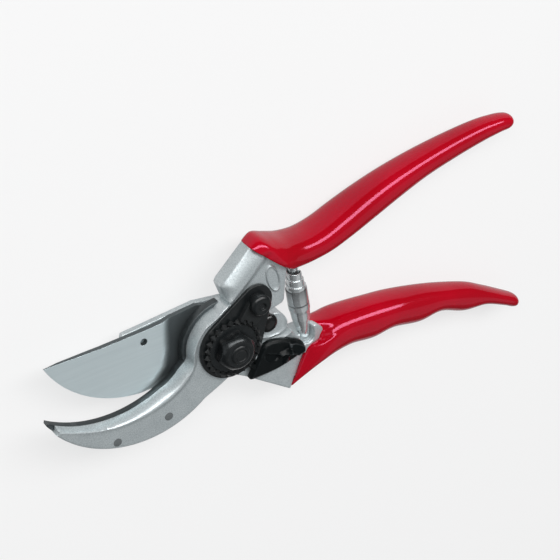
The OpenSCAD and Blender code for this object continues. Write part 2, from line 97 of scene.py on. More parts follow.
def signed_distance(points, loops):
    """Distance from each point to the nearest loop, negative inside the outline and outside its holes."""
    points = np.asarray(points, float)
    best = np.full(len(points), 1e9)
    inside = np.zeros(len(points), bool)
    for loop in loops:
        a = np.asarray(loop, float)
        b = np.roll(a, -1, axis=0)
        for (ax, ay), (bx, by) in zip(a, b):
            ex, ey = bx - ax, by - ay
            px, py = points[:, 0] - ax, points[:, 1] - ay
            h = np.clip((px * ex + py * ey) / max(ex * ex + ey * ey, 1e-12), 0, 1)
            best = np.minimum(best, (px - ex * h) ** 2 + (py - ey * h) ** 2)
            crosses = (ay > points[:, 1]) != (by > points[:, 1])
            if ay != by:
                inside ^= crosses & (points[:, 0] < ax + (points[:, 1] - ay) * ex / ey)
    return np.where(inside, -1, 1) * np.sqrt(best)


def slice_loops(node, z, straight=0.004):
    """The closed outlines that a CAD node shows when it is cut level at the height z."""
    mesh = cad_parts[node].data
    mesh.calc_loop_triangles()
    co = np.empty(len(mesh.vertices) * 3)
    mesh.vertices.foreach_get("co", co)
    co = co.reshape(-1, 3) / MM
    tri = np.empty(len(mesh.loop_triangles) * 3, int)
    mesh.loop_triangles.foreach_get("vertices", tri)
    tri = co[tri.reshape(-1, 3)]
    above = tri[:, :, 2] > z
    segments = {}
    for t, up in zip(tri[above.any(1) & ~above.all(1)], above[above.any(1) & ~above.all(1)]):
        ends = []
        for i in range(3):
            j = (i + 1) % 3
            if up[i] != up[j]:
                f = (z - t[i][2]) / (t[j][2] - t[i][2])
                p = t[i] + f * (t[j] - t[i])
                ends.append((up[i], (round(p[0], 3), round(p[1], 3))))
        start = next(p for up_i, p in ends if up_i)
        stop = next(p for up_i, p in ends if not up_i)
        if start != stop:
            segments.setdefault(start, []).append(stop)
    loops = []
    while segments:
        first = next(iter(segments))
        loop, here = [first], segments[first].pop()
        while here != first:
            if not segments.get(first):
                segments.pop(first, None)
            loop.append(here)
            nexts = segments.get(here)
            if not nexts:
                break
            there = nexts.pop()
            if not nexts:
                segments.pop(here)
            here = there
        if not segments.get(first):
            segments.pop(first, None)
        loop = np.array(loop)
        before, after = np.roll(loop, 1, axis=0), np.roll(loop, -1, axis=0)
        span = after - before
        off = np.abs(span[:, 0] * (loop - before)[:, 1] - span[:, 1] * (loop - before)[:, 0])
        loop = loop[off / np.maximum(np.linalg.norm(span, axis=1), 1e-9) > straight]
        if len(loop) > 2:
            loops.append(loop)
    return loops


def area_of(loop):
    x, y = np.asarray(loop).T
    return 0.5 * float(np.dot(x, np.roll(y, -1)) - np.dot(y, np.roll(x, -1)))


def outer_only(loops):
    return [max(loops, key=lambda p: abs(area_of(p)))]


def keep_left(loop, point, normal):
    """The part of an outline on the side of a line that its normal points away from."""
    point, normal = np.array(point, float), np.array(normal, float)
    made = []
    for a, b in zip(loop, np.roll(loop, -1, axis=0)):
        da, db = np.dot(a - point, normal), np.dot(b - point, normal)
        if da <= 0:
            made.append(a)
        if (da < 0) != (db < 0) and da != db:
            made.append(a + (b - a) * da / (da - db))
    return np.array(made)


def resampled(loop, pitch):
    made = []
    for a, b in zip(loop, np.roll(loop, -1, axis=0)):
        n = max(1, math.ceil(np.linalg.norm(b - a) / pitch))
        made += [a + (b - a) * k / n for k in range(n)]
    return np.array(made)


def corner(a, b, c, radius, steps=4):
    """A rounded corner at b between its neighbours a and c."""
    la, lc = np.linalg.norm(a - b), np.linalg.norm(c - b)
    p, q = b + (a - b) / la * min(radius, la / 2), b + (c - b) / lc * min(radius, lc / 2)
    return [(1 - t) ** 2 * p + 2 * t * (1 - t) * b + t * t * q for t in (k / steps for k in range(steps + 1))]


def eased(loop, radius):
    """The outline with each of its corners rounded by about the radius."""
    return np.array([p for a, b, c in zip(np.roll(loop, 1, axis=0), loop, np.roll(loop, -1, axis=0))
                     for p in corner(a, b, c, radius)])


# ---------------------------------------------------------------- mesh builders
def placed_object(name, data):
    obj = bpy.data.objects.new(name, data)
    bpy.context.scene.collection.objects.link(obj)
    return obj


def piece_from(name, points, faces, smooth_angle=40.0):
    mesh = bpy.data.meshes.new(name)
    mesh.from_pydata([tuple(p) for p in np.asarray(points) * MM], [], faces)
    mesh.validate()
    mesh.update()
    mesh.shade_smooth()
    if smooth_angle:
        mesh.set_sharp_from_angle(angle=math.radians(smooth_angle))
    return placed_object(name, mesh)


def joined(name, shells, smooth_angle=40.0):
    """One piece from several (points, faces) shells."""
    points, faces = [], []
    for p, f in shells:
        start = len(points)
        points += list(p)
        faces += [tuple(start + i for i in face) for face in f]
    return piece_from(name, points, faces, smooth_angle)


RIM_STEPS = [0, 25, 50, 72, 90]


def relief(loops, top, bottom, pitch=1.0, rim=0.4, low_rim=0.15, wall_pitch=None, creases=()):
    """A plate with the given outlines whose upper and lower faces are height functions of x, y and the depth
    from the outline. Its rims are rounded by rim above and low_rim below."""
    loops = [resampled(np.asarray(p, float), wall_pitch or pitch) for p in loops]
    points, edges = [], []
    for loop in loops:
        start, n = len(points), len(loop)
        points += list(loop)
        edges += [(start + i, start + (i + 1) % n) for i in range(n)]
    for line in creases:
        start = len(points)
        points += [np.array(p, float) for p in line]
        edges += [(start + i, start + i + 1) for i in range(len(line) - 1)]
    extra = []
    if rim > 0:
        for loop in loops:
            before, after = np.roll(loop, 1, axis=0), np.roll(loop, -1, axis=0)
            along = after - before
            normal = np.stack([-along[:, 1], along[:, 0]], 1)
            normal /= np.maximum(np.linalg.norm(normal, axis=1), 1e-9)[:, None]
            probe = signed_distance(loop + normal * 0.05, loops)
            normal[probe > 0] *= -1
            for a in RIM_STEPS[1:]:
                step = rim * (1 - math.cos(math.radians(a)))
                moved = loop + normal * step
                depth = -signed_distance(moved, loops)
                extra.append(moved[depth > 0.9 * step])
    outline = np.concatenate(loops)
    lo, hi = outline.min(0), outline.max(0)
    rows = np.arange(lo[1] + pitch / 2, hi[1], pitch * 0.87)
    grid = np.array([
        (x + (k % 2) * pitch / 2, y)
        for k, y in enumerate(rows)
        for x in np.arange(lo[0] + pitch / 3, hi[0], pitch)
    ])
    if len(grid):
        depth = -signed_distance(grid, loops)
        extra.append(grid[depth > rim + 0.45 * pitch])
    points += [p for group in extra for p in group]
    out = delaunay_2d_cdt([Vector(p) for p in points], edges, [], 0, 1e-5)
    plan = np.array([tuple(v) for v in out[0]])
    tris = np.array([f for f in out[2] if len(f) == 3])
    inside = signed_distance(plan[tris].mean(1), loops) < 0
    tris = tris[inside]
    ab, ac = plan[tris[:, 1]] - plan[tris[:, 0]], plan[tris[:, 2]] - plan[tris[:, 0]]
    turned = ab[:, 0] * ac[:, 1] - ab[:, 1] * ac[:, 0] < 0
    tris[turned] = tris[turned][:, ::-1]
    used = np.unique(tris)
    renumber = np.full(len(plan), -1)
    renumber[used] = np.arange(len(used))
    plan, tris = plan[used], renumber[tris]
    depth = np.maximum(-signed_distance(plan, loops), 0)
    depth[depth < 1e-3] = 0

    def drop(radius):
        if radius <= 0:
            return 0
        inner = np.clip(radius - depth, 0, radius)
        return radius - np.sqrt(radius ** 2 - inner ** 2)

    upper = top(plan[:, 0], plan[:, 1], depth) - drop(rim)
    lower = bottom(plan[:, 0], plan[:, 1], depth) + drop(low_rim)
    n = len(plan)
    points = np.concatenate([np.column_stack([plan, upper]), np.column_stack([plan, lower])])
    faces = [tuple(t) for t in tris] + [tuple(int(i) + n for i in t[::-1]) for t in tris]
    count = {}
    for t in tris:
        for i, j in ((t[0], t[1]), (t[1], t[2]), (t[2], t[0])):
            count[(int(i), int(j))] = True
    for i, j in count:
        if (j, i) not in count:
            faces.append((i, i + n, j + n, j))
    return points, [tuple(int(i) for i in f) for f in faces]


def level(z):
    return lambda x, y, d: np.full_like(x, float(z))


def turned(profile, origin=(0, 0, 0), axis=(0, 0, 1), count=64):
    """A closed turned shape from (radius, place along the axis) pairs; ends with radius 0 close in a point."""
    axis = Vector(axis).normalized()
    side = axis.orthogonal().normalized()
    other = axis.cross(side)
    points, faces, rings = [], [], []
    for r, h in profile:
        if r <= 1e-9:
            rings.append([len(points)])
            points.append(tuple(Vector(origin) + axis * h))
            continue
        start = len(points)
        for k in range(count):
            a = 2 * math.pi * k / count
            points.append(tuple(Vector(origin) + axis * h + side * (r * math.cos(a)) + other * (r * math.sin(a))))
        rings.append(list(range(start, start + count)))
    closed = profile[0][0] > 1e-9
    pairs = list(zip(rings, rings[1:])) + ([(rings[-1], rings[0])] if closed else [])
    for lower, upper in pairs:
        for k in range(count):
            k2 = (k + 1) % count
            if len(lower) == 1:
                faces.append((lower[0], upper[k2], upper[k]))
            elif len(upper) == 1:
                faces.append((lower[k], lower[k2], upper[0]))
            else:
                faces.append((lower[k], lower[k2], upper[k2], upper[k]))
    return points, faces


def rounded_profile(points, radius, steps=4):
    """A turned profile with its inner corners rounded; the first and last points stay."""
    pts = [np.array(p, float) for p in points]
    made = [pts[0]]
    for a, b, c in zip(pts, pts[1:], pts[2:]):
        cut = min(radius, np.linalg.norm(a - b) / 2, np.linalg.norm(c - b) / 2)
        made += corner(a, b, c, cut, steps)
    return [tuple(p) for p in made + [pts[-1]]]


def along(line, x, y):
    """For each point: distance to the nearest place on a line of points, that place's index, and on which side."""
    line = np.asarray(line, float)
    best, place, side = np.full(x.shape, 1e9), np.zeros_like(x), np.zeros_like(x)
    for i, (a, b) in enumerate(zip(line, line[1:])):
        ex, ey = b - a
        px, py = x - a[0], y - a[1]
        h = np.clip((px * ex + py * ey) / (ex * ex + ey * ey), 0, 1)
        dist = np.hypot(px - ex * h, py - ey * h)
        near = dist < best
        best = np.where(near, dist, best)
        place = np.where(near, i + h, place)
        side = np.where(near, np.sign(ex * py - ey * px), side)
    return best, place, side


def smoothstep(t):
    t = np.clip(t, 0, 1)
    return t * t * (3 - 2 * t)


def catmull(rows, i, f):
    """The Catmull-Rom value a share f of the way from row i to the next row."""
    last = len(rows) - 1
    a, b, c, d = rows[np.maximum(i - 1, 0)], rows[i], rows[i + 1], rows[np.minimum(i + 2, last)]
    return 0.5 * (2 * b + (c - a) * f + (2 * a - 5 * b + 4 * c - d) * f ** 2 + (3 * b - a - 3 * c + d) * f ** 3)


def spline(rows, between):
    """Rows of numbers with Catmull-Rom rows between them."""
    rows = np.asarray(rows, float)
    made = [catmull(rows, i, k / between) for i in range(len(rows) - 1) for k in range(between)]
    return np.array(made + [rows[-1]])


# ---------------------------------------------------------------- shader groups
def shader_group(name, inputs, outputs):
    group = bpy.data.node_groups.new(name, "ShaderNodeTree")
    for label, kind, value in inputs:
        socket = group.interface.new_socket(name=label, in_out="INPUT", socket_type=kind)
        socket.default_value = value
    for label, kind in outputs:
        group.interface.new_socket(name=label, in_out="OUTPUT", socket_type=kind)
    return group, group.nodes.new("NodeGroupInput"), group.nodes.new("NodeGroupOutput")


def feed(group, pairs):
    """Gives each socket its value, or a link from another socket."""
    for socket, value in pairs:
        if isinstance(value, (int, float, tuple)):
            socket.default_value = value
        elif value is not None:
            group.links.new(value, socket)


def math_node(group, operation, a, b=None, clamp=False):
    node = group.nodes.new("ShaderNodeMath")
    node.operation = operation
    node.use_clamp = clamp
    feed(group, zip(node.inputs, (a, b)))
    return node.outputs[0]


def remap(group, value, from_low, from_high, to_low, to_high):
    node = group.nodes.new("ShaderNodeMapRange")
    labels = ("Value", "From Min", "From Max", "To Min", "To Max")
    feed(group, zip([node.inputs[label] for label in labels], (value, from_low, from_high, to_low, to_high)))
    return node.outputs["Result"]


def mixed_colour(group, factor, a, b):
    node = group.nodes.new("ShaderNodeMix")
    node.data_type = "RGBA"
    feed(group, ((node.inputs[0], factor), (node.inputs[6], a), (node.inputs[7], b)))
    return node.outputs[2]


def object_noise(group, scale, detail=3.0, stretch=None):
    """Noise on Object coordinates; stretch scales the pattern along x, y and z."""
    place = group.nodes.new("ShaderNodeTexCoord").outputs["Object"]
    if stretch:
        mapping = group.nodes.new("ShaderNodeMapping")
        mapping.inputs["Scale"].default_value = stretch
        group.links.new(place, mapping.inputs["Vector"])
        place = mapping.outputs["Vector"]
    noise = group.nodes.new("ShaderNodeTexNoise")
    noise.inputs["Detail"].default_value = detail
    feed(group, ((noise.inputs["Vector"], place), (noise.inputs["Scale"], scale)))
    return noise.outputs["Fac"]


def pattern_ends(group, inp, out, whole, height):
    """Sends a pattern to the group's colour, roughness and height."""
    rough = remap(group, whole, 0.0, 1.0, inp.outputs["Rough High"], inp.outputs["Rough Low"])
    colour = mixed_colour(group, whole, inp.outputs["Dark"], inp.outputs["Light"])
    feed(group, ((out.inputs["Color"], colour), (out.inputs["Roughness"], rough), (out.inputs["Height"], height)))
    return group


def make_surface_grain():
    """Fine grain over broad cloudy patches, for forged, moulded and painted surfaces."""
    group, inp, out = shader_group(
        "surface_grain",
        [("Dark", "NodeSocketColor", (0.6, 0.6, 0.6, 1)), ("Light", "NodeSocketColor", (0.8, 0.8, 0.8, 1)),
         ("Grain Scale", "NodeSocketFloat", 2400.0), ("Patch Scale", "NodeSocketFloat", 110.0),
         ("Patch Share", "NodeSocketFloat", 0.5), ("Rough Low", "NodeSocketFloat", 0.3),
         ("Rough High", "NodeSocketFloat", 0.45)],
        [("Color", "NodeSocketColor"), ("Roughness", "NodeSocketFloat"), ("Height", "NodeSocketFloat")],
    )
    grain = object_noise(group, inp.outputs["Grain Scale"], 4.0)
    patch = object_noise(group, inp.outputs["Patch Scale"], 2.0)
    grain_wide = remap(group, grain, 0.3, 0.7, 0.0, 1.0)
    patch_wide = remap(group, patch, 0.3, 0.7, 0.0, 1.0)
    share = inp.outputs["Patch Share"]
    whole = math_node(group, "ADD", math_node(group, "MULTIPLY", patch_wide, share),
                      math_node(group, "MULTIPLY", grain_wide, math_node(group, "SUBTRACT", 1.0, share)))
    return pattern_ends(group, inp, out, whole, grain)


def make_brushed():
    """Grinding or polishing lines that run one way."""
    group, inp, out = shader_group(
        "brushed_lines",
        [("Scale", "NodeSocketFloat", 900.0), ("Rough Low", "NodeSocketFloat", 0.2),
         ("Rough High", "NodeSocketFloat", 0.35), ("Dark", "NodeSocketColor", (0.5, 0.5, 0.5, 1)),
         ("Light", "NodeSocketColor", (0.7, 0.7, 0.7, 1))],
        [("Color", "NodeSocketColor"), ("Roughness", "NodeSocketFloat"), ("Height", "NodeSocketFloat")],
    )
    lines = object_noise(group, inp.outputs["Scale"], 5.0, stretch=(0.05, 1.0, 1.0))
    clouds = object_noise(group, 60.0, 2.0)
    wide = remap(group, lines, 0.3, 0.7, 0.0, 1.0)
    whole = math_node(group, "ADD", math_node(group, "MULTIPLY", wide, 0.6),
                      math_node(group, "MULTIPLY", clouds, 0.4))
    return pattern_ends(group, inp, out, whole, lines)


def make_edge_wear_and_glint():
    """Lighter convex edges: a mask that is 1 on convex edges, and a colour that is mixed in there. It serves as
    rubbed wear, and on the black steel, nut and catch finishes as a painted glint.
    """
    group, inp, out = shader_group(
        "edge_wear_and_glint",
        [("Color", "NodeSocketColor", (0.1, 0.1, 0.1, 1)), ("Wear And Glint Color", "NodeSocketColor", (0.5, 0.5, 0.5, 1)),
         ("Amount", "NodeSocketFloat", 0.5), ("Patch Scale", "NodeSocketFloat", 500.0)],
        [("Color", "NodeSocketColor"), ("Mask", "NodeSocketFloat")],
    )
    point = group.nodes.new("ShaderNodeNewGeometry").outputs["Pointiness"]
    edge = remap(group, point, 0.515, 0.56, 0.0, 1.0)
    patches = remap(group, object_noise(group, inp.outputs["Patch Scale"], 3.0), 0.35, 0.65, 0.2, 1.0)
    wear_and_glint_edges = math_node(group, "MULTIPLY", edge, patches)
    mask = math_node(group, "MULTIPLY", wear_and_glint_edges, inp.outputs["Amount"], clamp=True)
    group.links.new(mixed_colour(group, mask, inp.outputs["Color"], inp.outputs["Wear And Glint Color"]), out.inputs["Color"])
    group.links.new(mask, out.inputs["Mask"])
    return group


def make_painted_shade():
    """Painted shade: darkens a colour by the mesh's own painted shade values; 1 keeps it, 0 gives the dark colour."""
    group, inp, out = shader_group(
        "painted_recess_shade",
        [("Color", "NodeSocketColor", (0.5, 0.5, 0.5, 1)), ("Dark Color", "NodeSocketColor", (0.05, 0.05, 0.05, 1))],
        [("Color", "NodeSocketColor")],
    )
    painted_shade = group.nodes.new("ShaderNodeAttribute")
    painted_shade.attribute_name = "painted_shade"
    mixed = mixed_colour(group, painted_shade.outputs["Fac"], inp.outputs["Dark Color"], inp.outputs["Color"])
    group.links.new(mixed, out.inputs["Color"])
    return group


SURFACE_GRAIN = make_surface_grain()
BRUSHED = make_brushed()
EDGE_WEAR_AND_GLINT = make_edge_wear_and_glint()
PAINTED_SHADE = make_painted_shade()


def grey(value):
    return (value, value, value, 1.0)


def finish_material(name, pattern, values, metallic=0.0, bump=0.2, bump_mm=0.02, worn=None, worn_amount=0.5,
                    specular=0.5, dark=None, tint=None):
    """A finish from one pattern group, with its own values, optional lighter edges (rubbed wear, and painted glints
    on the black parts) and optional painted shade from the mesh's painted shade values.
    """
    mat = bpy.data.materials.new(name)
    mat.use_nodes = True
    tree = mat.node_tree
    shader = tree.nodes["Principled BSDF"]
    shader.inputs["Metallic"].default_value = metallic
    shader.inputs["Specular IOR Level"].default_value = specular
    if tint:
        shader.inputs["Specular Tint"].default_value = tint

    def effect(group, settings):
        node = tree.nodes.new("ShaderNodeGroup")
        node.node_tree = group
        feed(tree, [(node.inputs[label], value) for label, value in settings.items()])
        return node

    use = effect(pattern, values)
    colour = use.outputs["Color"]
    if worn is not None:
        colour = effect(EDGE_WEAR_AND_GLINT, {"Wear And Glint Color": worn, "Amount": worn_amount, "Color": colour}).outputs["Color"]
    if dark is not None:
        colour = effect(PAINTED_SHADE, {"Dark Color": dark, "Color": colour}).outputs["Color"]
    tree.links.new(colour, shader.inputs["Base Color"])
    tree.links.new(use.outputs["Roughness"], shader.inputs["Roughness"])
    lift = tree.nodes.new("ShaderNodeBump")
    lift.inputs["Strength"].default_value = bump
    lift.inputs["Distance"].default_value = bump_mm * MM
    tree.links.new(use.outputs["Height"], lift.inputs["Height"])
    tree.links.new(lift.outputs["Normal"], shader.inputs["Normal"])
    return mat


def grained(name, deep, light, grain, patch, rough, share=0.5, **more):
    return finish_material(name, SURFACE_GRAIN, {
        "Dark": (*deep, 1), "Light": (*light, 1), "Grain Scale": grain, "Patch Scale": patch,
        "Patch Share": share, "Rough Low": rough[0], "Rough High": rough[1]}, **more)


def lined(name, deep, light, scale, rough, **more):
    return finish_material(name, BRUSHED, {
        "Scale": scale, "Rough Low": rough[0], "Rough High": rough[1], "Dark": (*deep, 1),
        "Light": (*light, 1)}, **more)


ALUMINIUM = grained(
    "satin_forged_aluminium", (0.42, 0.475, 0.49), (0.72, 0.775, 0.79), 2400.0, 170.0, (0.34, 0.50), share=0.2,
    metallic=0.6, bump=0.35, bump_mm=0.03, worn=(0.86, 0.89, 0.90, 1), worn_amount=0.5)
# Its shade colour paints shade on the blade's throat shoulder and side walls.
BLADE = lined(
    "ground_blade_steel", (0.66, 0.76, 0.785), (0.72, 0.82, 0.845), 900.0, (0.30, 0.38),
    metallic=0.6, bump=0.05, bump_mm=0.01, dark=(0.035, 0.042, 0.045, 1))
COUNTER = lined(
    "dark_counter_steel", (0.045, 0.053, 0.056), (0.095, 0.108, 0.112), 700.0, (0.30, 0.42),
    metallic=0.7, bump=0.1, bump_mm=0.01, worn=(0.30, 0.32, 0.33, 1), worn_amount=0.15)
RIVET = grained(
    "rivet_steel", (0.17, 0.19, 0.195), (0.26, 0.28, 0.285), 2600.0, 900.0, (0.34, 0.48), metallic=0.6)
# Its lighter convex edges are painted glints.
BLACK_STEEL = grained(
    "blackened_steel", (0.006, 0.0075, 0.008), (0.011, 0.0135, 0.0145), 1800.0, 260.0, (0.24, 0.36),
    worn=grey(0.06), worn_amount=0.4, specular=0.35)
# Its lighter convex edges are painted glints on the nut.
BLACK_HARDWARE = grained(
    "polished_black_steel", (0.012, 0.0145, 0.0155), (0.026, 0.030, 0.032), 1800.0, 260.0, (0.20, 0.30),
    metallic=0.6, worn=grey(0.16), worn_amount=0.6)
SEGMENT_BLACK = grained(
    "matt_sintered_black", (0.014, 0.0155, 0.016), (0.024, 0.0265, 0.0275), 2600.0, 300.0, (0.50, 0.70),
    bump=0.4, bump_mm=0.03, specular=0.2)
# Its lighter convex edges are painted highlights on the catch's ridges and raised end.
CATCH_BLACK = grained(
    "moulded_black_catch", (0.002, 0.003, 0.0035), (0.006, 0.008, 0.0085), 2200.0, 240.0, (0.24, 0.34),
    bump=0.25, worn=(0.07, 0.08, 0.085, 1), worn_amount=0.55, specular=0.12)
RUBBER = grained("black_rubber", (0.004,) * 3, (0.009,) * 3, 1500.0, 400.0, (0.14, 0.24), bump=0.1)
# Its shade colour paints thin dark lines of shade on the spring.
CHROME = lined(
    "bright_spring_steel", (0.66, 0.70, 0.71), (0.80, 0.84, 0.85), 600.0, (0.10, 0.18),
    metallic=0.75, bump=0.04, bump_mm=0.01, dark=(0.03, 0.034, 0.036, 1))
COATING = grained(
    "red_dip_coating", (0.40, 0.0004, 0.006), (0.50, 0.0008, 0.011), 400.0, 45.0, (0.10, 0.12), share=0.9,
    bump=0.0, specular=0.8, tint=(1.0, 0.36, 0.62, 1))


def dress(piece, material, body=None, replaces=()):
    """Gives a piece its finish and, where given, its body, and hides the CAD nodes that it stands for."""
    piece.data.materials.clear()
    piece.data.materials.append(material)
    if body:
        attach(piece, body)
        if replaces:
            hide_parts(*replaces)
    return piece


# ---------------------------------------------------------------- grips
HOOK_STATIONS = [
    (12.1, 38.0, 27.1, 23.4, 16, 5.5), (16.8, 39.8, 28.6, 21.8, 15, 7), (23, 36.8, 31, 20, 13, 8),
    (30.5, 33, 34.5, 19, 10.8, 8.8), (39, 31.2, 39.5, 18.7, 9.6, 9.2), (47, 32.4, 48.5, 19.8, 9.3, 9.3),
    (56, 35.8, 58.5, 22.8, 9.3, 9.1), (66, 39.4, 69.5, 26.5, 9.3, 8.4), (78, 42.8, 81.5, 30.8, 9.3, 7.6),
    (92, 45.6, 94.5, 35, 9.3, 6.7), (107, 47.7, 108.5, 38, 9.3, 5.8), (121, 48.8, 121.5, 40.2, 9.3, 5),
    (130, 48.4, 130.5, 41.2, 9.3, 4.4), (134.6, 47.6, 135.2, 41.4, 9.3, 3.9), (136.8, 46.6, 137.2, 42.6, 9.3, 2.9),
    (137.4, 45.4, 137.4, 43.6, 9.3, 1.4),
]
BLADE_STATIONS = [
    (27.0, -35.9, 38.6, -9.4, 8, 5.8), (33.3, -31.6, 42.0, -10.6, 8.8, 7.8), (39.5, -28.4, 46.5, -10.6, 9.3, 9),
    (46, -26.6, 51, -10.2, 9.3, 9.3), (54, -26, 57, -10.4, 9.3, 9.1), (64, -27.6, 67, -11.4, 9.3, 8.8),
    (74, -26.9, 78, -13, 9.3, 8.3), (87, -29.9, 90, -15.5, 9.3, 7.4), (98, -29.4, 101, -18.8, 9.3, 6.5),
    (110, -34.4, 114, -23.4, 9.3, 5.7), (121, -35.9, 123, -28.6, 9.3, 5), (130, -40, 131.8, -34.2, 9.3, 4.4),
    (135.2, -43.0, 137.2, -37.8, 9.3, 3.8), (137.5, -43.6, 138.9, -40.0, 9.3, 2.9),
    (138.3, -42.9, 139.0, -41.2, 9.3, 1.4),
]
GRIP_ROWS = 110
GRIP_SIDES = 120
# the rounded lip of the coating: how far it lies inside the skin, and its place from the mouth
LIP = [(2.4, 0.5), (1.5, 0.05), (0.75, 0.0), (0.35, 0.03), (0.1, 0.09), (0.0, 0.17)]


def station_at(stations, t):
    """The station rows' values at the places t, an array."""
    last = len(stations) - 1
    t = np.clip(t, 0, last)
    i = np.minimum(t.astype(int), last - 1)
    return catmull(np.asarray(stations, float), i, (t - i)[..., None])


def section_points(stations, t, angle, inset, power, relief_of):
    s = station_at(stations, t)
    outer, inner = s[..., 0:2], s[..., 2:4]
    span = outer - inner
    width = np.linalg.norm(span, axis=-1)
    u = span / width[..., None]
    ca, sa = np.cos(angle), np.sin(angle)
    grow = relief_of(t, angle) if relief_of else 0.0
    w = width / 2 - inset + grow
    h = s[..., 5] - inset + grow
    pu = np.sign(ca) * np.abs(ca) ** (2 / power) * w
    pz = np.sign(sa) * np.abs(sa) ** (2 / power) * h
    middle_xy = (outer + inner) / 2 + u * pu[..., None]
    return np.concatenate([middle_xy, (s[..., 4] + pz)[..., None]], axis=-1)


def coated_grip(stations, mouth_of, power_of, relief_of=None):
    """A closed skin over the stations, with a rounded lip at its mouth. Angle 0 is the outer side, 90 the top."""
    angle = 2 * np.pi * np.arange(GRIP_SIDES) / GRIP_SIDES
    mouth = mouth_of(angle)
    last = len(stations) - 1
    rings = [section_points(stations, mouth + ahead, angle, inset, power_of(mouth + ahead, angle), relief_of)
             for inset, ahead in LIP]
    start = LIP[-1][1]
    for k in range(1, GRIP_ROWS + 1):
        s = k / GRIP_ROWS
        t = s * last + (1 - s) ** 3 * (mouth + start)
        ahead = mouth + start + 0.02 * k
        t = np.maximum(t, np.where(t < ahead, ahead, mouth + start))
        rings.append(section_points(stations, np.minimum(t, last), angle, 0.0, power_of(t, angle), relief_of))
    points = np.concatenate(rings)
    faces = []
    for j in range(len(rings) - 1):
        for i in range(GRIP_SIDES):
            a, b = j * GRIP_SIDES + i, j * GRIP_SIDES + (i + 1) % GRIP_SIDES
            faces.append((a, b, b + GRIP_SIDES, a + GRIP_SIDES))
    first, final = len(points), len(points) + 1
    points = np.concatenate([points, [rings[0].mean(0)], [rings[-1].mean(0)]])
    top = (len(rings) - 1) * GRIP_SIDES
    for i in range(GRIP_SIDES):
        j = (i + 1) % GRIP_SIDES
        faces.append((first, j, i))
        faces.append((final, top + i, top + j))
    return points, faces


def outward(points, faces):
    """The same faces, all turned over if the shape's volume comes out negative."""
    p = np.asarray(points)
    volume = 0.0
    for f in faces:
        for k in range(1, len(f) - 1):
            volume += np.dot(p[f[0]], np.cross(p[f[k]], p[f[k + 1]]))
    return (points, faces) if volume > 0 else (points, [tuple(reversed(f)) for f in faces])


def hook_power(t, angle):
    """Rounded above and squarer below, where the coating wraps the handle's lower corner."""
    return 2.25 + np.where(np.sin(angle) < 0, 3.0, 0.8) * np.exp(-np.maximum(t, 0) / 1.1)


def blade_power(t, angle):
    return 2.25 + 2.2 * np.exp(-np.maximum(t, 0) / 1.1)


BLADE_MOUTH_BACK = 1.3
BLADE_MOUTH_ANGLES = (84, 116, 134, 186)
BLADE_SINK = 2.3


def hook_mouth(angle):
    return 0.0 * angle


def blade_mouth(angle):
    """The coating stops short round the spring's seat, on the upper inner side."""
    start, full, going, end = BLADE_MOUTH_ANGLES
    turn = np.degrees(angle)
    return BLADE_MOUTH_BACK * smoothstep((turn - start) / (full - start)) * smoothstep((end - turn) / (end - going))


def blade_sink(t, angle):
    """The coating thins down to its mouth round the spring's seat."""
    mouth = blade_mouth(angle)
    return -BLADE_SINK * np.exp(-(np.maximum(t - mouth, 0) / 0.75) ** 2) * mouth / BLADE_MOUTH_BACK


def hook_crease(t, angle):
    """A fold in the coating beside the handle's rib, deepest at the mouth."""
    off = (np.degrees(angle) - 78) / 10.0
    return -0.7 * np.exp(-off ** 2) * np.exp(-(np.maximum(t, 0) / 0.9) ** 2)


def make_grips():
    upper = outward(*coated_grip(HOOK_STATIONS, hook_mouth, hook_power, hook_crease))
    dress(piece_from("hook_grip_coating", *upper, smooth_angle=0), COATING, "hook_side", ["hook_grip"])
    lower = outward(*coated_grip(BLADE_STATIONS, blade_mouth, blade_power, blade_sink))
    dress(piece_from("blade_grip_coating", *lower, smooth_angle=0), COATING, "blade_side", ["blade_grip"])


# ---------------------------------------------------------------- hook handle
RIDGE = [
    # x, y, crest above the flat front, top of the wall beside it, width of the fall to the flat side
    (24, 39, 0.0, 17.6, 3.2), (18, 33.5, 0.8, 17.6, 3.4), (12.5, 28.9, 1.9, 17.5, 3.5),
    (5, 22.8, 2.2, 17.4, 3.6), (-4.5, 15.7, 2.2, 16.6, 2.6), (-9.6, 13.2, 2.2, 15.9, 2.3),
    (-13.6, 9.1, 2.2, 15.6, 2.2), (-15.9, 3.6, 2.2, 15.5, 2.2),
    (-16.6, -1.2, 2.0, 15.5, 2.3), (-18.6, -4.6, 1.6, 15.4, 2.4), (-21.4, -7.8, 1.2, 15.3, 2.3),
    (-24.6, -10.3, 0.8, 15.3, 2.0), (-27.8, -12.2, 0.55, 15.3, 1.7), (-32.6, -13.9, 0.4, 15.3, 1.5),
    (-37.6, -15, 0.35, 15.3, 1.3), (-42.6, -15.4, 0.3, 15.3, 1.2), (-47.6, -15.4, 0.3, 15.3, 1.2),
    (-52.6, -14.7, 0.25, 15.3, 1.1), (-59.6, -12.9, 0.2, 15.4, 1.0), (-68, -9.5, 0.1, 15.6, 0.9),
    (-76, -5.5, 0.1, 15.6, 0.9),
]
HOOK_MOUTH_MID = np.array([20.35, 30.95])
HOOK_MOUTH_OUT = np.array([0.727, 0.687])
MOUTH_DEPTH = 4.0


# a plain raised oval on the flat beside the rib
OVAL_C, OVAL_HALF, OVAL_TURN = (20.6, 21.6), (5.6, 2.4), -79
OVAL_RISE, OVAL_LINE = 0.5, 0.45


def oval_line(grow):
    turn = math.radians(OVAL_TURN)
    long_r, wide_r = OVAL_HALF[0] * (1 + grow / OVAL_HALF[1]), OVAL_HALF[1] + grow
    return [np.array(OVAL_C) + np.array([
        long_r * math.cos(a) * math.cos(turn) - wide_r * math.sin(a) * math.sin(turn),
        long_r * math.cos(a) * math.sin(turn) + wide_r * math.sin(a) * math.cos(turn),
    ]) for a in np.linspace(0, 2 * math.pi, 49)]


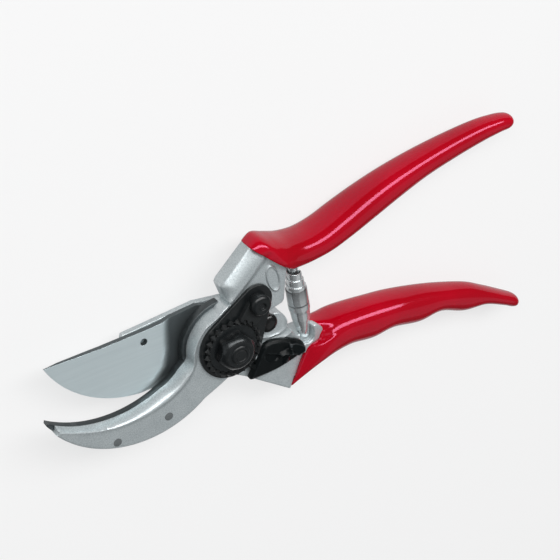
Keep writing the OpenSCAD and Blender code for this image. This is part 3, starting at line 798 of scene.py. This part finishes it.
def hook_top(x, y, depth):
    line = spline(RIDGE, 6)
    dist, place, side = along(line[:, :2], x, y)
    crest, wall, fall = (np.interp(place, np.arange(len(line)), line[:, k]) for k in (2, 3, 4))
    flat = Z_FRONT + crest * 0.5 * (1 + np.cos(np.pi * np.minimum(dist / fall, 1)))
    share = depth / (depth + dist + 1e-6)
    slope = wall + (Z_FRONT + crest - wall) * np.sin(share * np.pi / 2) ** 0.9
    turn = math.radians(OVAL_TURN)
    u = (x - OVAL_C[0]) * math.cos(turn) + (y - OVAL_C[1]) * math.sin(turn)
    v = (y - OVAL_C[1]) * math.cos(turn) - (x - OVAL_C[0]) * math.sin(turn)
    off = (np.hypot(u / OVAL_HALF[0], v / OVAL_HALF[1]) - 1) * OVAL_HALF[1]
    oval = OVAL_RISE * np.clip(1 - np.abs(off) / OVAL_LINE, 0, 1)
    return np.where(side >= 0, flat + oval, np.minimum(slope, Z_FRONT + crest))


NECK_R, NECK_BACK, NECK_ARC, COLLAR_W = 18.2, 1.5, (93, 188), 2.6


def make_hook_handle():
    outline = outer_only(slice_loops("hook_handle", (Z_COUNTER + Z_FRONT) / 2))[0]
    cut = HOOK_MOUTH_MID + HOOK_MOUTH_OUT * MOUTH_DEPTH
    outline = keep_left(outline, cut, HOOK_MOUTH_OUT)
    radius = np.hypot(outline[:, 0], outline[:, 1])
    turn = np.degrees(np.arctan2(outline[:, 1], outline[:, 0])) % 360
    back = smoothstep((turn - NECK_ARC[0]) / 8) * smoothstep((NECK_ARC[1] - turn) / 8) * (abs(radius - NECK_R) < 0.2)
    outline = outline * (1 - NECK_BACK * back / radius)[:, None]
    under = outer_only(slice_loops("counter_blade", (Z_HOOK + Z_COUNTER) / 2))

    def foot(x, y, depth):
        away = signed_distance(np.column_stack([x, y]), under)
        return Z_COUNTER + (Z_HOOK - Z_COUNTER) * smoothstep((away - 0.05) / 0.5)

    ridge = spline(RIDGE, 6)[6:-3, :2]
    body = relief([outline], hook_top, foot, pitch=0.75, rim=0.55, low_rim=0.2, wall_pitch=0.6,
                  creases=[ridge] + [oval_line(grow) for grow in (-OVAL_LINE, 0.0, OVAL_LINE)])
    dress(joined("hook_handle_forging", [body]), ALUMINIUM, "hook_side", ["hook_handle"])


def make_counter_blade():
    loops = outer_only(slice_loops("counter_blade", (Z_HOOK + Z_COUNTER) / 2))
    body = relief(loops, level(Z_COUNTER), level(Z_HOOK), pitch=1.5, rim=0.12, low_rim=0.1, wall_pitch=0.7)
    start, stop = NECK_ARC
    band = np.array(arc((0, 0), NECK_R, start, stop, 40) + arc((0, 0), NECK_R - COLLAR_W, stop, start, 40))
    collar = relief([band], level(Z_COUNTER + 0.2), level(Z_HOOK), pitch=1.2, rim=0.5, low_rim=0.1, wall_pitch=0.7)
    dress(joined("counter_blade_steel", [body, collar]), COUNTER, "hook_side", ["counter_blade"])


# ---------------------------------------------------------------- blade side
BLADE_MOUTH_MID = np.array([33.75, -23.4])
BLADE_MOUTH_OUT = np.array([0.861, -0.508])
SHOULDER = [(-22.5, 22), (-23.6, 12), (-24.2, 4), (-26.0, -2.5), (-30.5, -7.2), (-38, -12)]


def blade_top(x, y, depth):
    """Flat face with a hollow shoulder that drops towards the pivot and runs out along the edge."""
    dist, place, side = along(SHOULDER, x, y)
    inner = np.where(side > 0, dist, 0)
    near_hub = smoothstep((np.hypot(x, y) - 15.6) / 2.0)
    return Z_BLADE_TOP - 1.1 * smoothstep(inner / 4.2) * near_hub


EDGE_C = np.array([-31.0, 32.6])
EDGE_R = 43.1
GRIND_W = 5.0
BACK_TAPER = (0.9, 1.2)


def write_painted_shade(piece, values):
    """Writes painted shade values, one for each corner of the piece, for its material to read."""
    layer = piece.data.attributes.new("painted_shade", "FLOAT", "CORNER")
    layer.data.foreach_set("value", np.asarray(values, np.float32))


def make_cutting_blade():
    loops = slice_loops("cutting_blade", Z_BLADE_TOP - 0.05)
    outer = outer_only(loops)[0]
    holes = [p for p in loops if p is not outer and p[:, 0].mean() < -20]
    holes = [np.array(arc(p.mean(0), math.sqrt(abs(area_of(p)) / math.pi), 0, 360, 33)[:-1]) for p in holes]

    def under(x, y, depth):
        from_edge = EDGE_R - np.hypot(x - EDGE_C[0], y - EDGE_C[1])
        ground = np.clip(from_edge / GRIND_W, 0, 1)
        away = smoothstep((-x - 17.0) / 3.0)
        back = BACK_TAPER[0] * smoothstep((-x - 19.0) / 4.0) + BACK_TAPER[1] * smoothstep((-x - 45.0) / 30.0)
        lowest = Z_BLADE + back
        return lowest + (Z_BLADE_TOP - 0.3 - lowest) * (1 - ground) * away

    body = relief([outer] + holes, blade_top, under, pitch=1.0, rim=0.06, low_rim=0.0, wall_pitch=0.8)
    piece = joined("cutting_blade_steel", [body])
    mesh = piece.data
    # Painted shade: the colour darkens along the hollow throat shoulder, and the side walls are painted dark, where
    # shade falls.
    spot = np.array([mesh.vertices[loop.vertex_index].co for loop in mesh.loops]) / MM
    flat = np.repeat([abs(p.normal.z) for p in mesh.polygons], [p.loop_total for p in mesh.polygons])
    dist, place, side = along(SHOULDER, spot[:, 0], spot[:, 1])
    into = np.where(side > 0, dist, 0)
    painted_shade = 1 - 0.9 * smoothstep(into / 4.0)
    painted_shade = np.where(flat < 0.5, np.minimum(painted_shade, 0.12), painted_shade)
    write_painted_shade(piece, painted_shade)
    dress(piece, BLADE, "blade_side", ["cutting_blade"])


DECK_RIDGES = (
    [(15.7, -10.4), (19.3, -10.3), (23.0, -10.2), (27.2, -10.6), (29.4, -9.6), (30.2, -7.6)],
    [(15.6, -5.6), (17.4, -7.4), (20.5, -8.1), (24.5, -8.0), (27.4, -6.4), (28.2, -3.6)],
)
PAD_OUTLINE = [
    (33.0, -20.2), (35.2, -22.4), (37.6, -21.8), (40.8, -18.6), (43.0, -15.8), (43.0, -13.2), (41.4, -11.2),
    (39.8, -10.2), (38.7, -10.6), (38.8, -13.0), (38.5, -15.8), (36.6, -17.2), (34.4, -17.0), (32.8, -18.2)]
PAD_RISE = 1.3
FOOT_SLOT = (33.3, 39.2, -16.4)


def deck_top(x, y, depth):
    """Deck under the catch, with forged ridges that curve round the cushion and a slot for the spring's foot."""
    z = np.full_like(x, float(Z_DECK))
    for ridge in DECK_RIDGES:
        line = spline(ridge, 4)
        dist, _, _ = along(line, x, y)
        z += 0.55 * np.exp(-(dist / 0.62) ** 2)
    low_x, high_x, low_y = FOOT_SLOT
    slot = np.minimum(np.minimum(x - low_x, high_x - x), y - low_y)
    return z - (Z_DECK - Z_BLADE) * smoothstep(slot / 0.5)


BOSS_CHAMFER = 3.4
LIP_CORNER, CORNER_SHIFT = (27.5, -34.0), (-0.7, -2.0)


def corner_moved(loop):
    """The outline with its corner at the grip's lower lip drawn out a little."""
    near = np.hypot(loop[:, 0] - LIP_CORNER[0], loop[:, 1] - LIP_CORNER[1]) < 1.0
    return loop + np.outer(near, CORNER_SHIFT)


def make_blade_handle():
    cut = BLADE_MOUTH_MID + BLADE_MOUTH_OUT * MOUTH_DEPTH
    lower = keep_left(outer_only(slice_loops("blade_handle", (Z_PLATE + Z_BLADE) / 2 - 0.4))[0], cut, BLADE_MOUTH_OUT)
    lower = corner_moved(lower)
    arm_low = Z_BLADE - BACKING_ARM

    def foot(x, y, depth):
        off = np.hypot(x, y)
        arm = (arm_low - Z_PLATE) * smoothstep((off - 15.6) / 0.5) * (x < -4)
        return Z_PLATE + np.maximum(arm, BOSS_CHAMFER * smoothstep((off - 11.5) / 4.0) * (x < 6) * (y > 0))

    plate = relief([lower], level(Z_BLADE), foot, pitch=1.5, rim=0.35, low_rim=0.5, wall_pitch=0.7)
    deck_loop = keep_left(outer_only(slice_loops("blade_handle", (Z_BLADE + Z_DECK) / 2))[0], cut, BLADE_MOUTH_OUT)
    deck_loop = corner_moved(deck_loop)
    deck = relief([deck_loop], deck_top, level(Z_BLADE - 0.4), pitch=0.6, rim=0.5, low_rim=0.0, wall_pitch=0.6)
    pad_loop = spline(PAD_OUTLINE + PAD_OUTLINE[:1], 4)[:-1]
    pad = relief([pad_loop], level(Z_DECK + PAD_RISE), level(Z_BLADE - 0.2), pitch=0.7, rim=0.7, low_rim=0.0,
                 wall_pitch=0.5)
    dress(joined("blade_handle_forging", [plate, deck, pad]), ALUMINIUM, "blade_side", ["blade_handle"])


def make_cushion():
    x, y, _ = CUSHION
    r = (high("cushion")[0] - low("cushion")[0]) / 2
    base, crown = low("cushion")[2], high("cushion")[2]
    dome = [(0, base), (r, base), (r, Z_DECK + 0.2), (r + 0.25, Z_DECK + 0.45)]
    dome += [((r + 0.25) * math.cos(a), Z_DECK + 0.5 + (crown + 0.9 - Z_DECK - 0.5) * math.sin(a))
             for a in np.linspace(0.12, math.pi / 2 - 0.12, 9)] + [(0, crown + 0.9)]
    shell = outward(*turned(dome, origin=(x, y, 0)))
    dress(joined("rubber_cushion", [shell], 60), RUBBER, "blade_side", ["cushion"])


CATCH_OUTLINE = [
    (8.9, -20.8), (11.4, -16.6), (14.0, -12.2), (16.2, -9.7), (18.6, -8.8), (22.5, -9.4), (28.0, -11.5),
    (32.0, -13.8), (33.5, -15.8), (33.2, -18.0), (30.5, -20.2), (26.0, -21.5), (20.7, -22.5), (13.0, -22.8),
    (9.6, -22.6), (8.6, -21.8)]
THUMB_SCOOP, SCOOP_R, SCOOP_TURN = (19.35, -14.5), 3.6, -24
CATCH_ARMS = ([(22.6, -16.0), (25.9, -16.0)], [(24.5, -19.4), (25.9, -16.0)])
CATCH_PAD = [(26.6, -12.6), (29.5, -12.6), (32.2, -14.4), (33.2, -16.2), (32.4, -17.8), (29.0, -18.4), (26.0, -16.0)]
TOOTH_DROP = 0.5


def catch_top(x, y, depth):
    """Bevelled plate with a half-round thumb scoop, ridges that meet in a star, and a raised end."""
    z = CATCH_TOP - 0.9 * smoothstep(1 - depth / 1.3)
    turn = math.radians(SCOOP_TURN)
    rx, ry = x - THUMB_SCOOP[0], y - THUMB_SCOOP[1]
    u, v = rx * math.cos(turn) + ry * math.sin(turn), ry * math.cos(turn) - rx * math.sin(turn)
    inside = smoothstep((SCOOP_R - np.hypot(u, v)) / 0.4) * smoothstep(-v / 0.35)
    z -= inside * 1.3 * np.clip(1 + v / SCOOP_R, 0, 1)
    for arm in CATCH_ARMS:
        dist, _, _ = along(arm, x, y)
        z += 1.3 * np.clip(1 - dist / 1.7, 0, 1)
    rise = -signed_distance(np.column_stack([x, y]), [np.array(CATCH_PAD)])
    return z + (1.7 - 0.32 * (y + 15.6)) * smoothstep((rise + 0.55) / 1.1)


def make_thumb_catch():
    outline = spline(CATCH_OUTLINE + CATCH_OUTLINE[:1], 4)[:-1]
    plate = relief([outline], catch_top, level(Z_CATCH), pitch=0.32, rim=0.25, low_rim=0.2, wall_pitch=0.4)
    whole = outer_only(slice_loops("thumb_catch", Z_CATCH + 0.5))[0]
    tooth_loop = keep_left(whole, (12.4, -17.0), (0.75, -0.66))
    tooth = relief([tooth_loop], level(CATCH_TOP - TOOTH_DROP), level(Z_CATCH), pitch=0.8, rim=0.2, low_rim=0.1,
                   wall_pitch=0.5)
    radius = (high("catch_pin")[0] - low("catch_pin")[0]) / 2
    pin = [(0, low("catch_pin")[2]), (radius, low("catch_pin")[2]), (radius, Z_CATCH + 0.9), (0, Z_CATCH + 0.9)]
    pin = turned(rounded_profile(pin, 0.2), origin=(*CATCH_PIN, 0))
    dress(joined("catch_pin_steel", [outward(*pin)]), RIVET, "blade_side", ["catch_pin"])
    dress(joined("thumb_catch_plate", [plate, tooth]), CATCH_BLACK, "catch", ["thumb_catch"])


# ---------------------------------------------------------------- pivot hardware
def make_lock_plate():
    loop = outer_only(slice_loops("lock_plate", (Z_FRONT + Z_RING) / 2))
    body = relief(loop, level(Z_RING), level(Z_FRONT), pitch=1.5, rim=0.45, low_rim=0.0, wall_pitch=0.6)
    dress(joined("lock_plate_steel", [body]), BLACK_STEEL, "hook_side", ["lock_plate"])


SEGMENT_HALF = 4.1
SEGMENT_REACH = 0.5


def make_segment():
    loop = outer_only(slice_loops("toothed_segment", (Z_RING + Z_HEX) / 2))[0]
    way = SCREW / np.linalg.norm(SCREW)
    across = np.array([-way[1], way[0]])
    loop = keep_left(loop, SCREW + way * SEGMENT_REACH, way)
    for side in (across, -across):
        loop = keep_left(loop, side * SEGMENT_HALF, side)
    body = relief([loop], level(Z_HEX + 0.6), level(Z_RING), pitch=1.2, rim=0.25, low_rim=0.0, wall_pitch=0.5)
    dress(joined("toothed_segment_plate", [body]), SEGMENT_BLACK, "hook_side", ["toothed_segment"])


def make_segment_screw():
    top = high("segment_screw")[2]
    head = rounded_profile([
        (0, Z_RING), (SCREW_R, Z_RING), (SCREW_R, top - 1.0), (SCREW_R - 0.9, top - 0.25), (1.5, top),
        (1.2, top - 0.8), (0, top - 0.8)], 0.35, 4)
    shank = [(0, Z_FRONT - 5), (2.5, Z_FRONT - 5), (2.5, Z_RING + 0.1), (0, Z_RING + 0.1)]
    shells = [outward(*turned(profile, origin=(*SCREW, 0))) for profile in (head, shank)]
    dress(joined("segment_screw_steel", shells), BLACK_STEEL, "hook_side", ["segment_screw"])


def make_nut():
    hexagon = eased(outer_only(slice_loops("centre_nut", (Z_HEX + Z_NUT_TOP) / 2 - 1))[0], 0.35)
    corner = np.hypot(hexagon[:, 0], hexagon[:, 1]).max()

    def crown(x, y, depth):
        return Z_NUT_TOP - 3.2 * np.clip((np.hypot(x, y) - corner + 3.0) / 3.0, 0, 1) ** 1.7

    nut = relief([hexagon], crown, level(Z_HEX - 0.2), pitch=0.55, rim=0.25, low_rim=0.0, wall_pitch=0.5)
    root = RING_R - 1.9
    ring = turned(rounded_profile([
        (0, Z_RING), (root, Z_RING), (root, Z_HEX - 0.1), (7.4, Z_HEX + 0.1), (0, Z_HEX + 0.1)], 0.2))
    dress(joined("centre_nut_hexagon", [nut, outward(*ring)]), BLACK_HARDWARE, "hook_side", ["centre_nut"])


BOLT_HEAD_R, BOLT_HEAD_T, BOLT_R = 8.5, 2, 4


def make_bolt():
    end = Z_BOLT_END
    profile = rounded_profile([
        (0, 0), (BOLT_HEAD_R, 0), (BOLT_HEAD_R, BOLT_HEAD_T), (BOLT_R, BOLT_HEAD_T), (BOLT_R, end - 0.5), (3.3, end),
        (2.5, end), (2.3, end - 0.35), (2.0, end - 0.1), (0, end + 0.05)], 0.25, 3)
    bolt = joined("centre_bolt_steel", [outward(*turned(profile))])
    dress(bolt, BLACK_STEEL, "hook_side", ["centre_bolt"])


# ---------------------------------------------------------------- Geometry Nodes: what repeats or follows a path
def node_tree(name, inputs):
    tree = bpy.data.node_groups.new(name, "GeometryNodeTree")
    tree.interface.new_socket(name="Geometry", in_out="INPUT", socket_type="NodeSocketGeometry")
    for label, kind, value in inputs:
        socket = tree.interface.new_socket(name=label, in_out="INPUT", socket_type=kind)
        if value is not None:
            socket.default_value = value
    tree.interface.new_socket(name="Geometry", in_out="OUTPUT", socket_type="NodeSocketGeometry")
    return tree, tree.nodes.new("NodeGroupInput"), tree.nodes.new("NodeGroupOutput")


def baked(name, tree, values, points=((0, 0, 0),), smooth_angle=40.0):
    """Runs a tree on some points and returns its result as a plain mesh piece."""
    host_mesh = bpy.data.meshes.new(name + "_points")
    host_mesh.from_pydata([tuple(np.array(p, float) * MM) for p in points], [], [])
    host = placed_object(name + "_host", host_mesh)
    modifier = host.modifiers.new("build", "NODES")
    modifier.node_group = tree
    for item in tree.interface.items_tree:
        if item.item_type == "SOCKET" and item.in_out == "INPUT" and item.name in values:
            modifier[item.identifier] = values[item.name]
    deps = bpy.context.evaluated_depsgraph_get()
    mesh = bpy.data.meshes.new_from_object(host.evaluated_get(deps), depsgraph=deps)
    host.modifiers.remove(modifier)
    bpy.data.objects.remove(host)
    mesh.name = name
    mesh.shade_smooth()
    mesh.set_sharp_from_angle(angle=math.radians(smooth_angle))
    return placed_object(name, mesh)


def finish_tree(tree, out, geometry, material):
    realize = tree.nodes.new("GeometryNodeRealizeInstances")
    paint = tree.nodes.new("GeometryNodeSetMaterial")
    paint.inputs["Material"].default_value = material
    tree.links.new(geometry, realize.inputs[0])
    tree.links.new(realize.outputs[0], paint.inputs["Geometry"])
    tree.links.new(paint.outputs[0], out.inputs[0])


def wire(tree, node, **values):
    """Gives a node's inputs, named with _ for a space, their values or links."""
    feed(tree, [(node.inputs[label.replace("_", " ")], value) for label, value in values.items()])


def added(tree, kinds):
    """New nodes for a tree, one of each kind."""
    return [tree.nodes.new(kind) for kind in kinds]


def ring_teeth_tree():
    """Small pyramids that stand in a ring, each turned to face outwards."""
    tree, inp, out = node_tree("ring_teeth", [
        ("Count", "NodeSocketInt", 24), ("Ring Radius", "NodeSocketFloat", 0.011),
        ("Tooth Radius", "NodeSocketFloat", 0.001), ("Tooth Height", "NodeSocketFloat", 0.001),
        ("Tip Radius", "NodeSocketFloat", 0.0002), ("Height", "NodeSocketFloat", 0.02)])
    circle, cone, place, position, align, offset, lift = added(tree, (
        "GeometryNodeMeshCircle", "GeometryNodeMeshCone", "GeometryNodeInstanceOnPoints", "GeometryNodeInputPosition",
        "FunctionNodeAlignRotationToVector", "ShaderNodeCombineXYZ", "GeometryNodeTranslateInstances"))
    align.axis = "X"
    given = inp.outputs
    wire(tree, circle, Vertices=given["Count"], Radius=given["Ring Radius"])
    wire(tree, cone, Radius_Bottom=given["Tooth Radius"], Radius_Top=given["Tip Radius"],
         Depth=given["Tooth Height"], Vertices=4)
    wire(tree, align, Vector=position.outputs[0])
    wire(tree, place, Points=circle.outputs[0], Instance=cone.outputs["Mesh"], Rotation=align.outputs[0])
    wire(tree, offset, Z=given["Height"])
    wire(tree, lift, Instances=place.outputs[0], Translation=offset.outputs[0], Local_Space=False)
    finish_tree(tree, out, lift.outputs[0], BLACK_STEEL)
    return tree


def rivet_tree():
    """Flush rivets with a slight crown on the given points."""
    tree, inp, out = node_tree("flush_rivets", [
        ("Radius", "NodeSocketFloat", 0.0017), ("Length", "NodeSocketFloat", 0.007)])
    shank, crown, squash, half, up, both, place = added(tree, (
        "GeometryNodeMeshCylinder", "GeometryNodeMeshUVSphere", "GeometryNodeTransform", "ShaderNodeMath",
        "ShaderNodeCombineXYZ", "GeometryNodeJoinGeometry", "GeometryNodeInstanceOnPoints"))
    given = inp.outputs
    half.operation = "MULTIPLY"
    feed(tree, ((half.inputs[0], given["Length"]), (half.inputs[1], 0.5)))
    wire(tree, shank, Radius=given["Radius"], Depth=given["Length"], Vertices=40)
    wire(tree, crown, Radius=given["Radius"], Segments=40, Rings=12)
    wire(tree, up, Z=half.outputs[0])
    wire(tree, squash, Geometry=crown.outputs["Mesh"], Translation=up.outputs[0], Scale=(0.985, 0.985, 0.08))
    feed(tree, ((both.inputs[0], shank.outputs["Mesh"]), (both.inputs[0], squash.outputs[0])))
    wire(tree, place, Points=given["Geometry"], Instance=both.outputs[0])
    finish_tree(tree, out, place.outputs[0], RIVET)
    return tree


RING_TEETH = 24


def make_ring_teeth():
    teeth = baked("ring_teeth", ring_teeth_tree(), {
        "Count": RING_TEETH, "Ring Radius": (RING_R - 1.1) * MM, "Tooth Radius": 1.45 * MM, "Tooth Height": 1.7 * MM,
        "Tip Radius": 0.4 * MM, "Height": (Z_RING + 0.75) * MM}, smooth_angle=20)
    dress(teeth, BLACK_STEEL, "hook_side")


def make_rivets():
    lo, hi = low("counter_blade_rivets"), high("counter_blade_rivets")
    mid = (lo[2] + hi[2]) / 2
    seats = [(lo[0] + RIVET_R, lo[1] + RIVET_R, mid), (hi[0] - RIVET_R, hi[1] - RIVET_R, mid)]
    sizes = {"Radius": RIVET_R * MM, "Length": (hi[2] - lo[2]) * MM}
    rivets = baked("counter_blade_rivet_heads", rivet_tree(), sizes, points=seats)
    dress(rivets, RIVET, "hook_side", ["counter_blade_rivets"])


# ---------------------------------------------------------------- volute spring
SPRING_TOP = np.array([34.2, 18.6, GRIP_MID])
SPRING_END = np.array([36.4, -12.5, GRIP_MID])


def volute_tree():
    """A flat strip wound in a spiral that climbs as it widens."""
    tree, inp, out = node_tree("volute_strip", [
        ("Turns", "NodeSocketFloat", 2.0), ("Start Radius", "NodeSocketFloat", 0.002),
        ("End Radius", "NodeSocketFloat", 0.004), ("Rise", "NodeSocketFloat", 0.005),
        ("Strip Width", "NodeSocketFloat", 0.01), ("Strip Thickness", "NodeSocketFloat", 0.0006)])
    spiral, normal, profile, soften, sweep = added(tree, (
        "GeometryNodeCurveSpiral", "GeometryNodeSetCurveNormal", "GeometryNodeCurvePrimitiveQuadrilateral",
        "GeometryNodeFilletCurve", "GeometryNodeCurveToMesh"))
    given = inp.outputs
    normal.mode = "Z_UP"
    soften.mode = "POLY"
    wire(tree, spiral, Rotations=given["Turns"], Height=given["Rise"], Start_Radius=given["Start Radius"],
         End_Radius=given["End Radius"], Resolution=48)
    wire(tree, normal, Curve=spiral.outputs[0])
    wire(tree, profile, Width=given["Strip Thickness"], Height=given["Strip Width"])
    wire(tree, soften, Curve=profile.outputs[0], Count=3, Radius=0.12 * MM)
    wire(tree, sweep, Curve=normal.outputs[0], Profile_Curve=soften.outputs[0], Fill_Caps=True)
    finish_tree(tree, out, sweep.outputs[0], CHROME)
    return tree


def mesh_arrays(obj):
    co = np.array([v.co for v in obj.data.vertices]) / MM
    faces = [tuple(p.vertices) for p in obj.data.polygons]
    bpy.data.objects.remove(obj)
    return co, faces


SPRING_STRIP = {"Turns": 3.2, "Start Radius": 2.3 * MM, "End Radius": 3.9 * MM, "Rise": 9.2 * MM,
                "Strip Width": 9.0 * MM, "Strip Thickness": 0.5 * MM}
STRIP_FROM = 2.6
SLEEVE = [
    (3.5, 12.0), (4.2, 12.0), (4.25, 18.4), (4.15, 18.6), (4.15, 18.9), (4.25, 19.1), (4.25, 21.2), (3.95, 22.6),
    (3.65, 26.0), (3.05, 29.4), (2.2, 34.6), (1.6, 34.6), (2.4, 29.2), (3.0, 25.8), (3.5, 21.0)]
# Places along the spring's axis, in mm, where painted shade darkens thin lines: the sleeve's end, its groove and the
# start of its taper.
PAINTED_SHADE_LINES = (12.0, 18.75, 21.9)
SPRING_NUB = [(0, -1.4), (1.9, -1.4), (1.9, 3.6), (1.3, 4.4), (0, 4.4)]


def make_spring():
    run = float(np.linalg.norm(SPRING_END - SPRING_TOP))
    co, faces = mesh_arrays(baked("volute_strip", volute_tree(), SPRING_STRIP))
    co[:, 2] += STRIP_FROM - co[:, 2].min()
    sleeve = turned(rounded_profile(SLEEVE + SLEEVE[:1], 0.18, 3)[1:], count=72)
    along_axis = (SPRING_END - SPRING_TOP) / run
    sideways = np.array([-along_axis[1], along_axis[0], 0.0])
    upwards = np.cross(along_axis, sideways)
    placed = []
    nub = turned(rounded_profile(SPRING_NUB, 0.25, 3), count=48)
    for points, shell in ((co, faces), sleeve, nub):
        p = np.asarray(points, float)
        moved = SPRING_TOP + np.outer(p[:, 2], along_axis) + np.outer(p[:, 0], sideways) + np.outer(p[:, 1], upwards)
        placed.append(outward(moved, shell))
    spring = joined("volute_spring_strip", placed, 35)
    # Painted shade: thin dark lines on the strip and sleeve at the sleeve's end, groove and taper.
    spots = np.array([spring.data.vertices[loop.vertex_index].co for loop in spring.data.loops]) / MM
    run_at = (spots - SPRING_TOP) @ along_axis
    edges = np.exp(-((run_at[:, None] - np.array(PAINTED_SHADE_LINES)) / 0.3) ** 2).max(1)
    write_painted_shade(spring, 1 - 0.85 * edges)
    dress(spring, CHROME)
    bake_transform(spring)
    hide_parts("volute_spring")


# ---------------------------------------------------------------- CAD nodes that keep their shape
def dress_cad_nodes():
    for node, material in (
        ("thrust_washer", BLACK_STEEL), ("blade_pins", RIVET),
        ("catch_back_ring", RIVET), ("catch_washer", RIVET),
    ):
        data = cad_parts[node].data
        data.materials.clear()
        data.materials.append(material)


# ---------------------------------------------------------------- floor, light and camera
FLOOR_GLOW, FLOOR_BOUNCE = 0.72, 0.42
FLOOR_HALF, FLOOR_DROP = 3.0, 0.3


def make_floor():
    size = FLOOR_HALF
    mesh = bpy.data.meshes.new("floor")
    drop = -FLOOR_DROP * MM
    corners = [(-size, -size, drop), (size, -size, drop), (size, size, drop), (-size, size, drop)]
    mesh.from_pydata(corners, [], [(0, 1, 2, 3)])
    floor = placed_object("floor", mesh)
    mat = bpy.data.materials.new("pale_floor")
    mat.use_nodes = True
    shader = mat.node_tree.nodes["Principled BSDF"]
    shader.inputs["Base Color"].default_value = grey(0.22)
    shader.inputs["Roughness"].default_value = 0.9
    shader.inputs["Specular IOR Level"].default_value = 0.0
    shader.inputs["Emission Color"].default_value = grey(1.0)
    path = mat.node_tree.nodes.new("ShaderNodeLightPath")
    glow = mat.node_tree.nodes.new("ShaderNodeMapRange")
    glow.inputs["To Min"].default_value = FLOOR_BOUNCE
    glow.inputs["To Max"].default_value = FLOOR_GLOW
    mat.node_tree.links.new(path.outputs["Is Camera Ray"], glow.inputs["Value"])
    mat.node_tree.links.new(glow.outputs["Result"], shader.inputs["Emission Strength"])
    mesh.materials.append(mat)


def make_world():
    world = bpy.data.worlds.new("studio")
    bpy.context.scene.world = world
    world.use_nodes = True
    nodes, links = world.node_tree.nodes, world.node_tree.links
    background = nodes["Background"]
    coords = nodes.new("ShaderNodeTexCoord")
    split = nodes.new("ShaderNodeSeparateXYZ")
    ramp = nodes.new("ShaderNodeValToRGB")
    links.new(coords.outputs["Generated"], split.inputs[0])
    links.new(split.outputs["Z"], ramp.inputs["Fac"])
    ramp.color_ramp.elements[0].position = 0.0
    ramp.color_ramp.elements[0].color = (0.07, 0.074, 0.076, 1)
    ramp.color_ramp.elements[1].position = 0.95
    ramp.color_ramp.elements[1].color = (0.19, 0.195, 0.20, 1)
    middle_stop = ramp.color_ramp.elements.new(0.35)
    middle_stop.color = (0.11, 0.115, 0.118, 1)
    links.new(ramp.outputs["Color"], background.inputs["Color"])
    background.inputs["Strength"].default_value = 1.0


def softbox(name, centre, target, width, height, power):
    light = bpy.data.lights.new(name, "AREA")
    light.shape = "RECTANGLE"
    light.size, light.size_y = width, height
    light.energy = power
    obj = placed_object(name, light)
    obj.location = centre
    back = (Vector(centre) - Vector(target)).normalized()
    obj.rotation_mode = "QUATERNION"
    obj.rotation_quaternion = back.to_track_quat("Z", "Y")


def make_lights():
    aim = (0.03, 0.0, 0.01)
    softbox("strip_over_grips", (0.13, 0.66, 0.76), aim, 1.7, 0.34, 12.5)
    softbox("panel_over_flats", (0.45, -0.60, 0.85), aim, 1.0, 0.9, 0.7)
    softbox("side_panel", (-0.95, 0.25, 0.45), aim, 0.8, 0.5, 0.9)


CAMERA_PLACE = (-0.2364, 0.3773, 0.5099)
CAMERA_RIGHT = (0.85464, -0.08274, 0.51258)
CAMERA_UP = (0.33897, 0.83672, -0.43011)
CAMERA_BACK = (-0.39331, 0.54134, 0.74314)


def make_camera():
    data = bpy.data.cameras.new("view")
    data.sensor_width = 36.0
    data.lens = 114.4
    data.clip_start, data.clip_end = 0.01, 20.0
    cam = placed_object("view", data)
    turn = Matrix((CAMERA_RIGHT, CAMERA_UP, CAMERA_BACK)).transposed().to_4x4()
    cam.matrix_world = Matrix.Translation(CAMERA_PLACE) @ turn
    bpy.context.scene.camera = cam


for make in (
    make_camera, make_world, make_lights, make_floor, make_grips, make_hook_handle, make_counter_blade,
    make_cutting_blade, make_blade_handle, make_cushion, make_thumb_catch, make_lock_plate, make_segment,
    make_segment_screw, make_nut, make_ring_teeth, make_bolt, make_rivets, make_spring, dress_cad_nodes,
):
    make()

bpy.context.scene.view_settings.view_transform = "Standard"
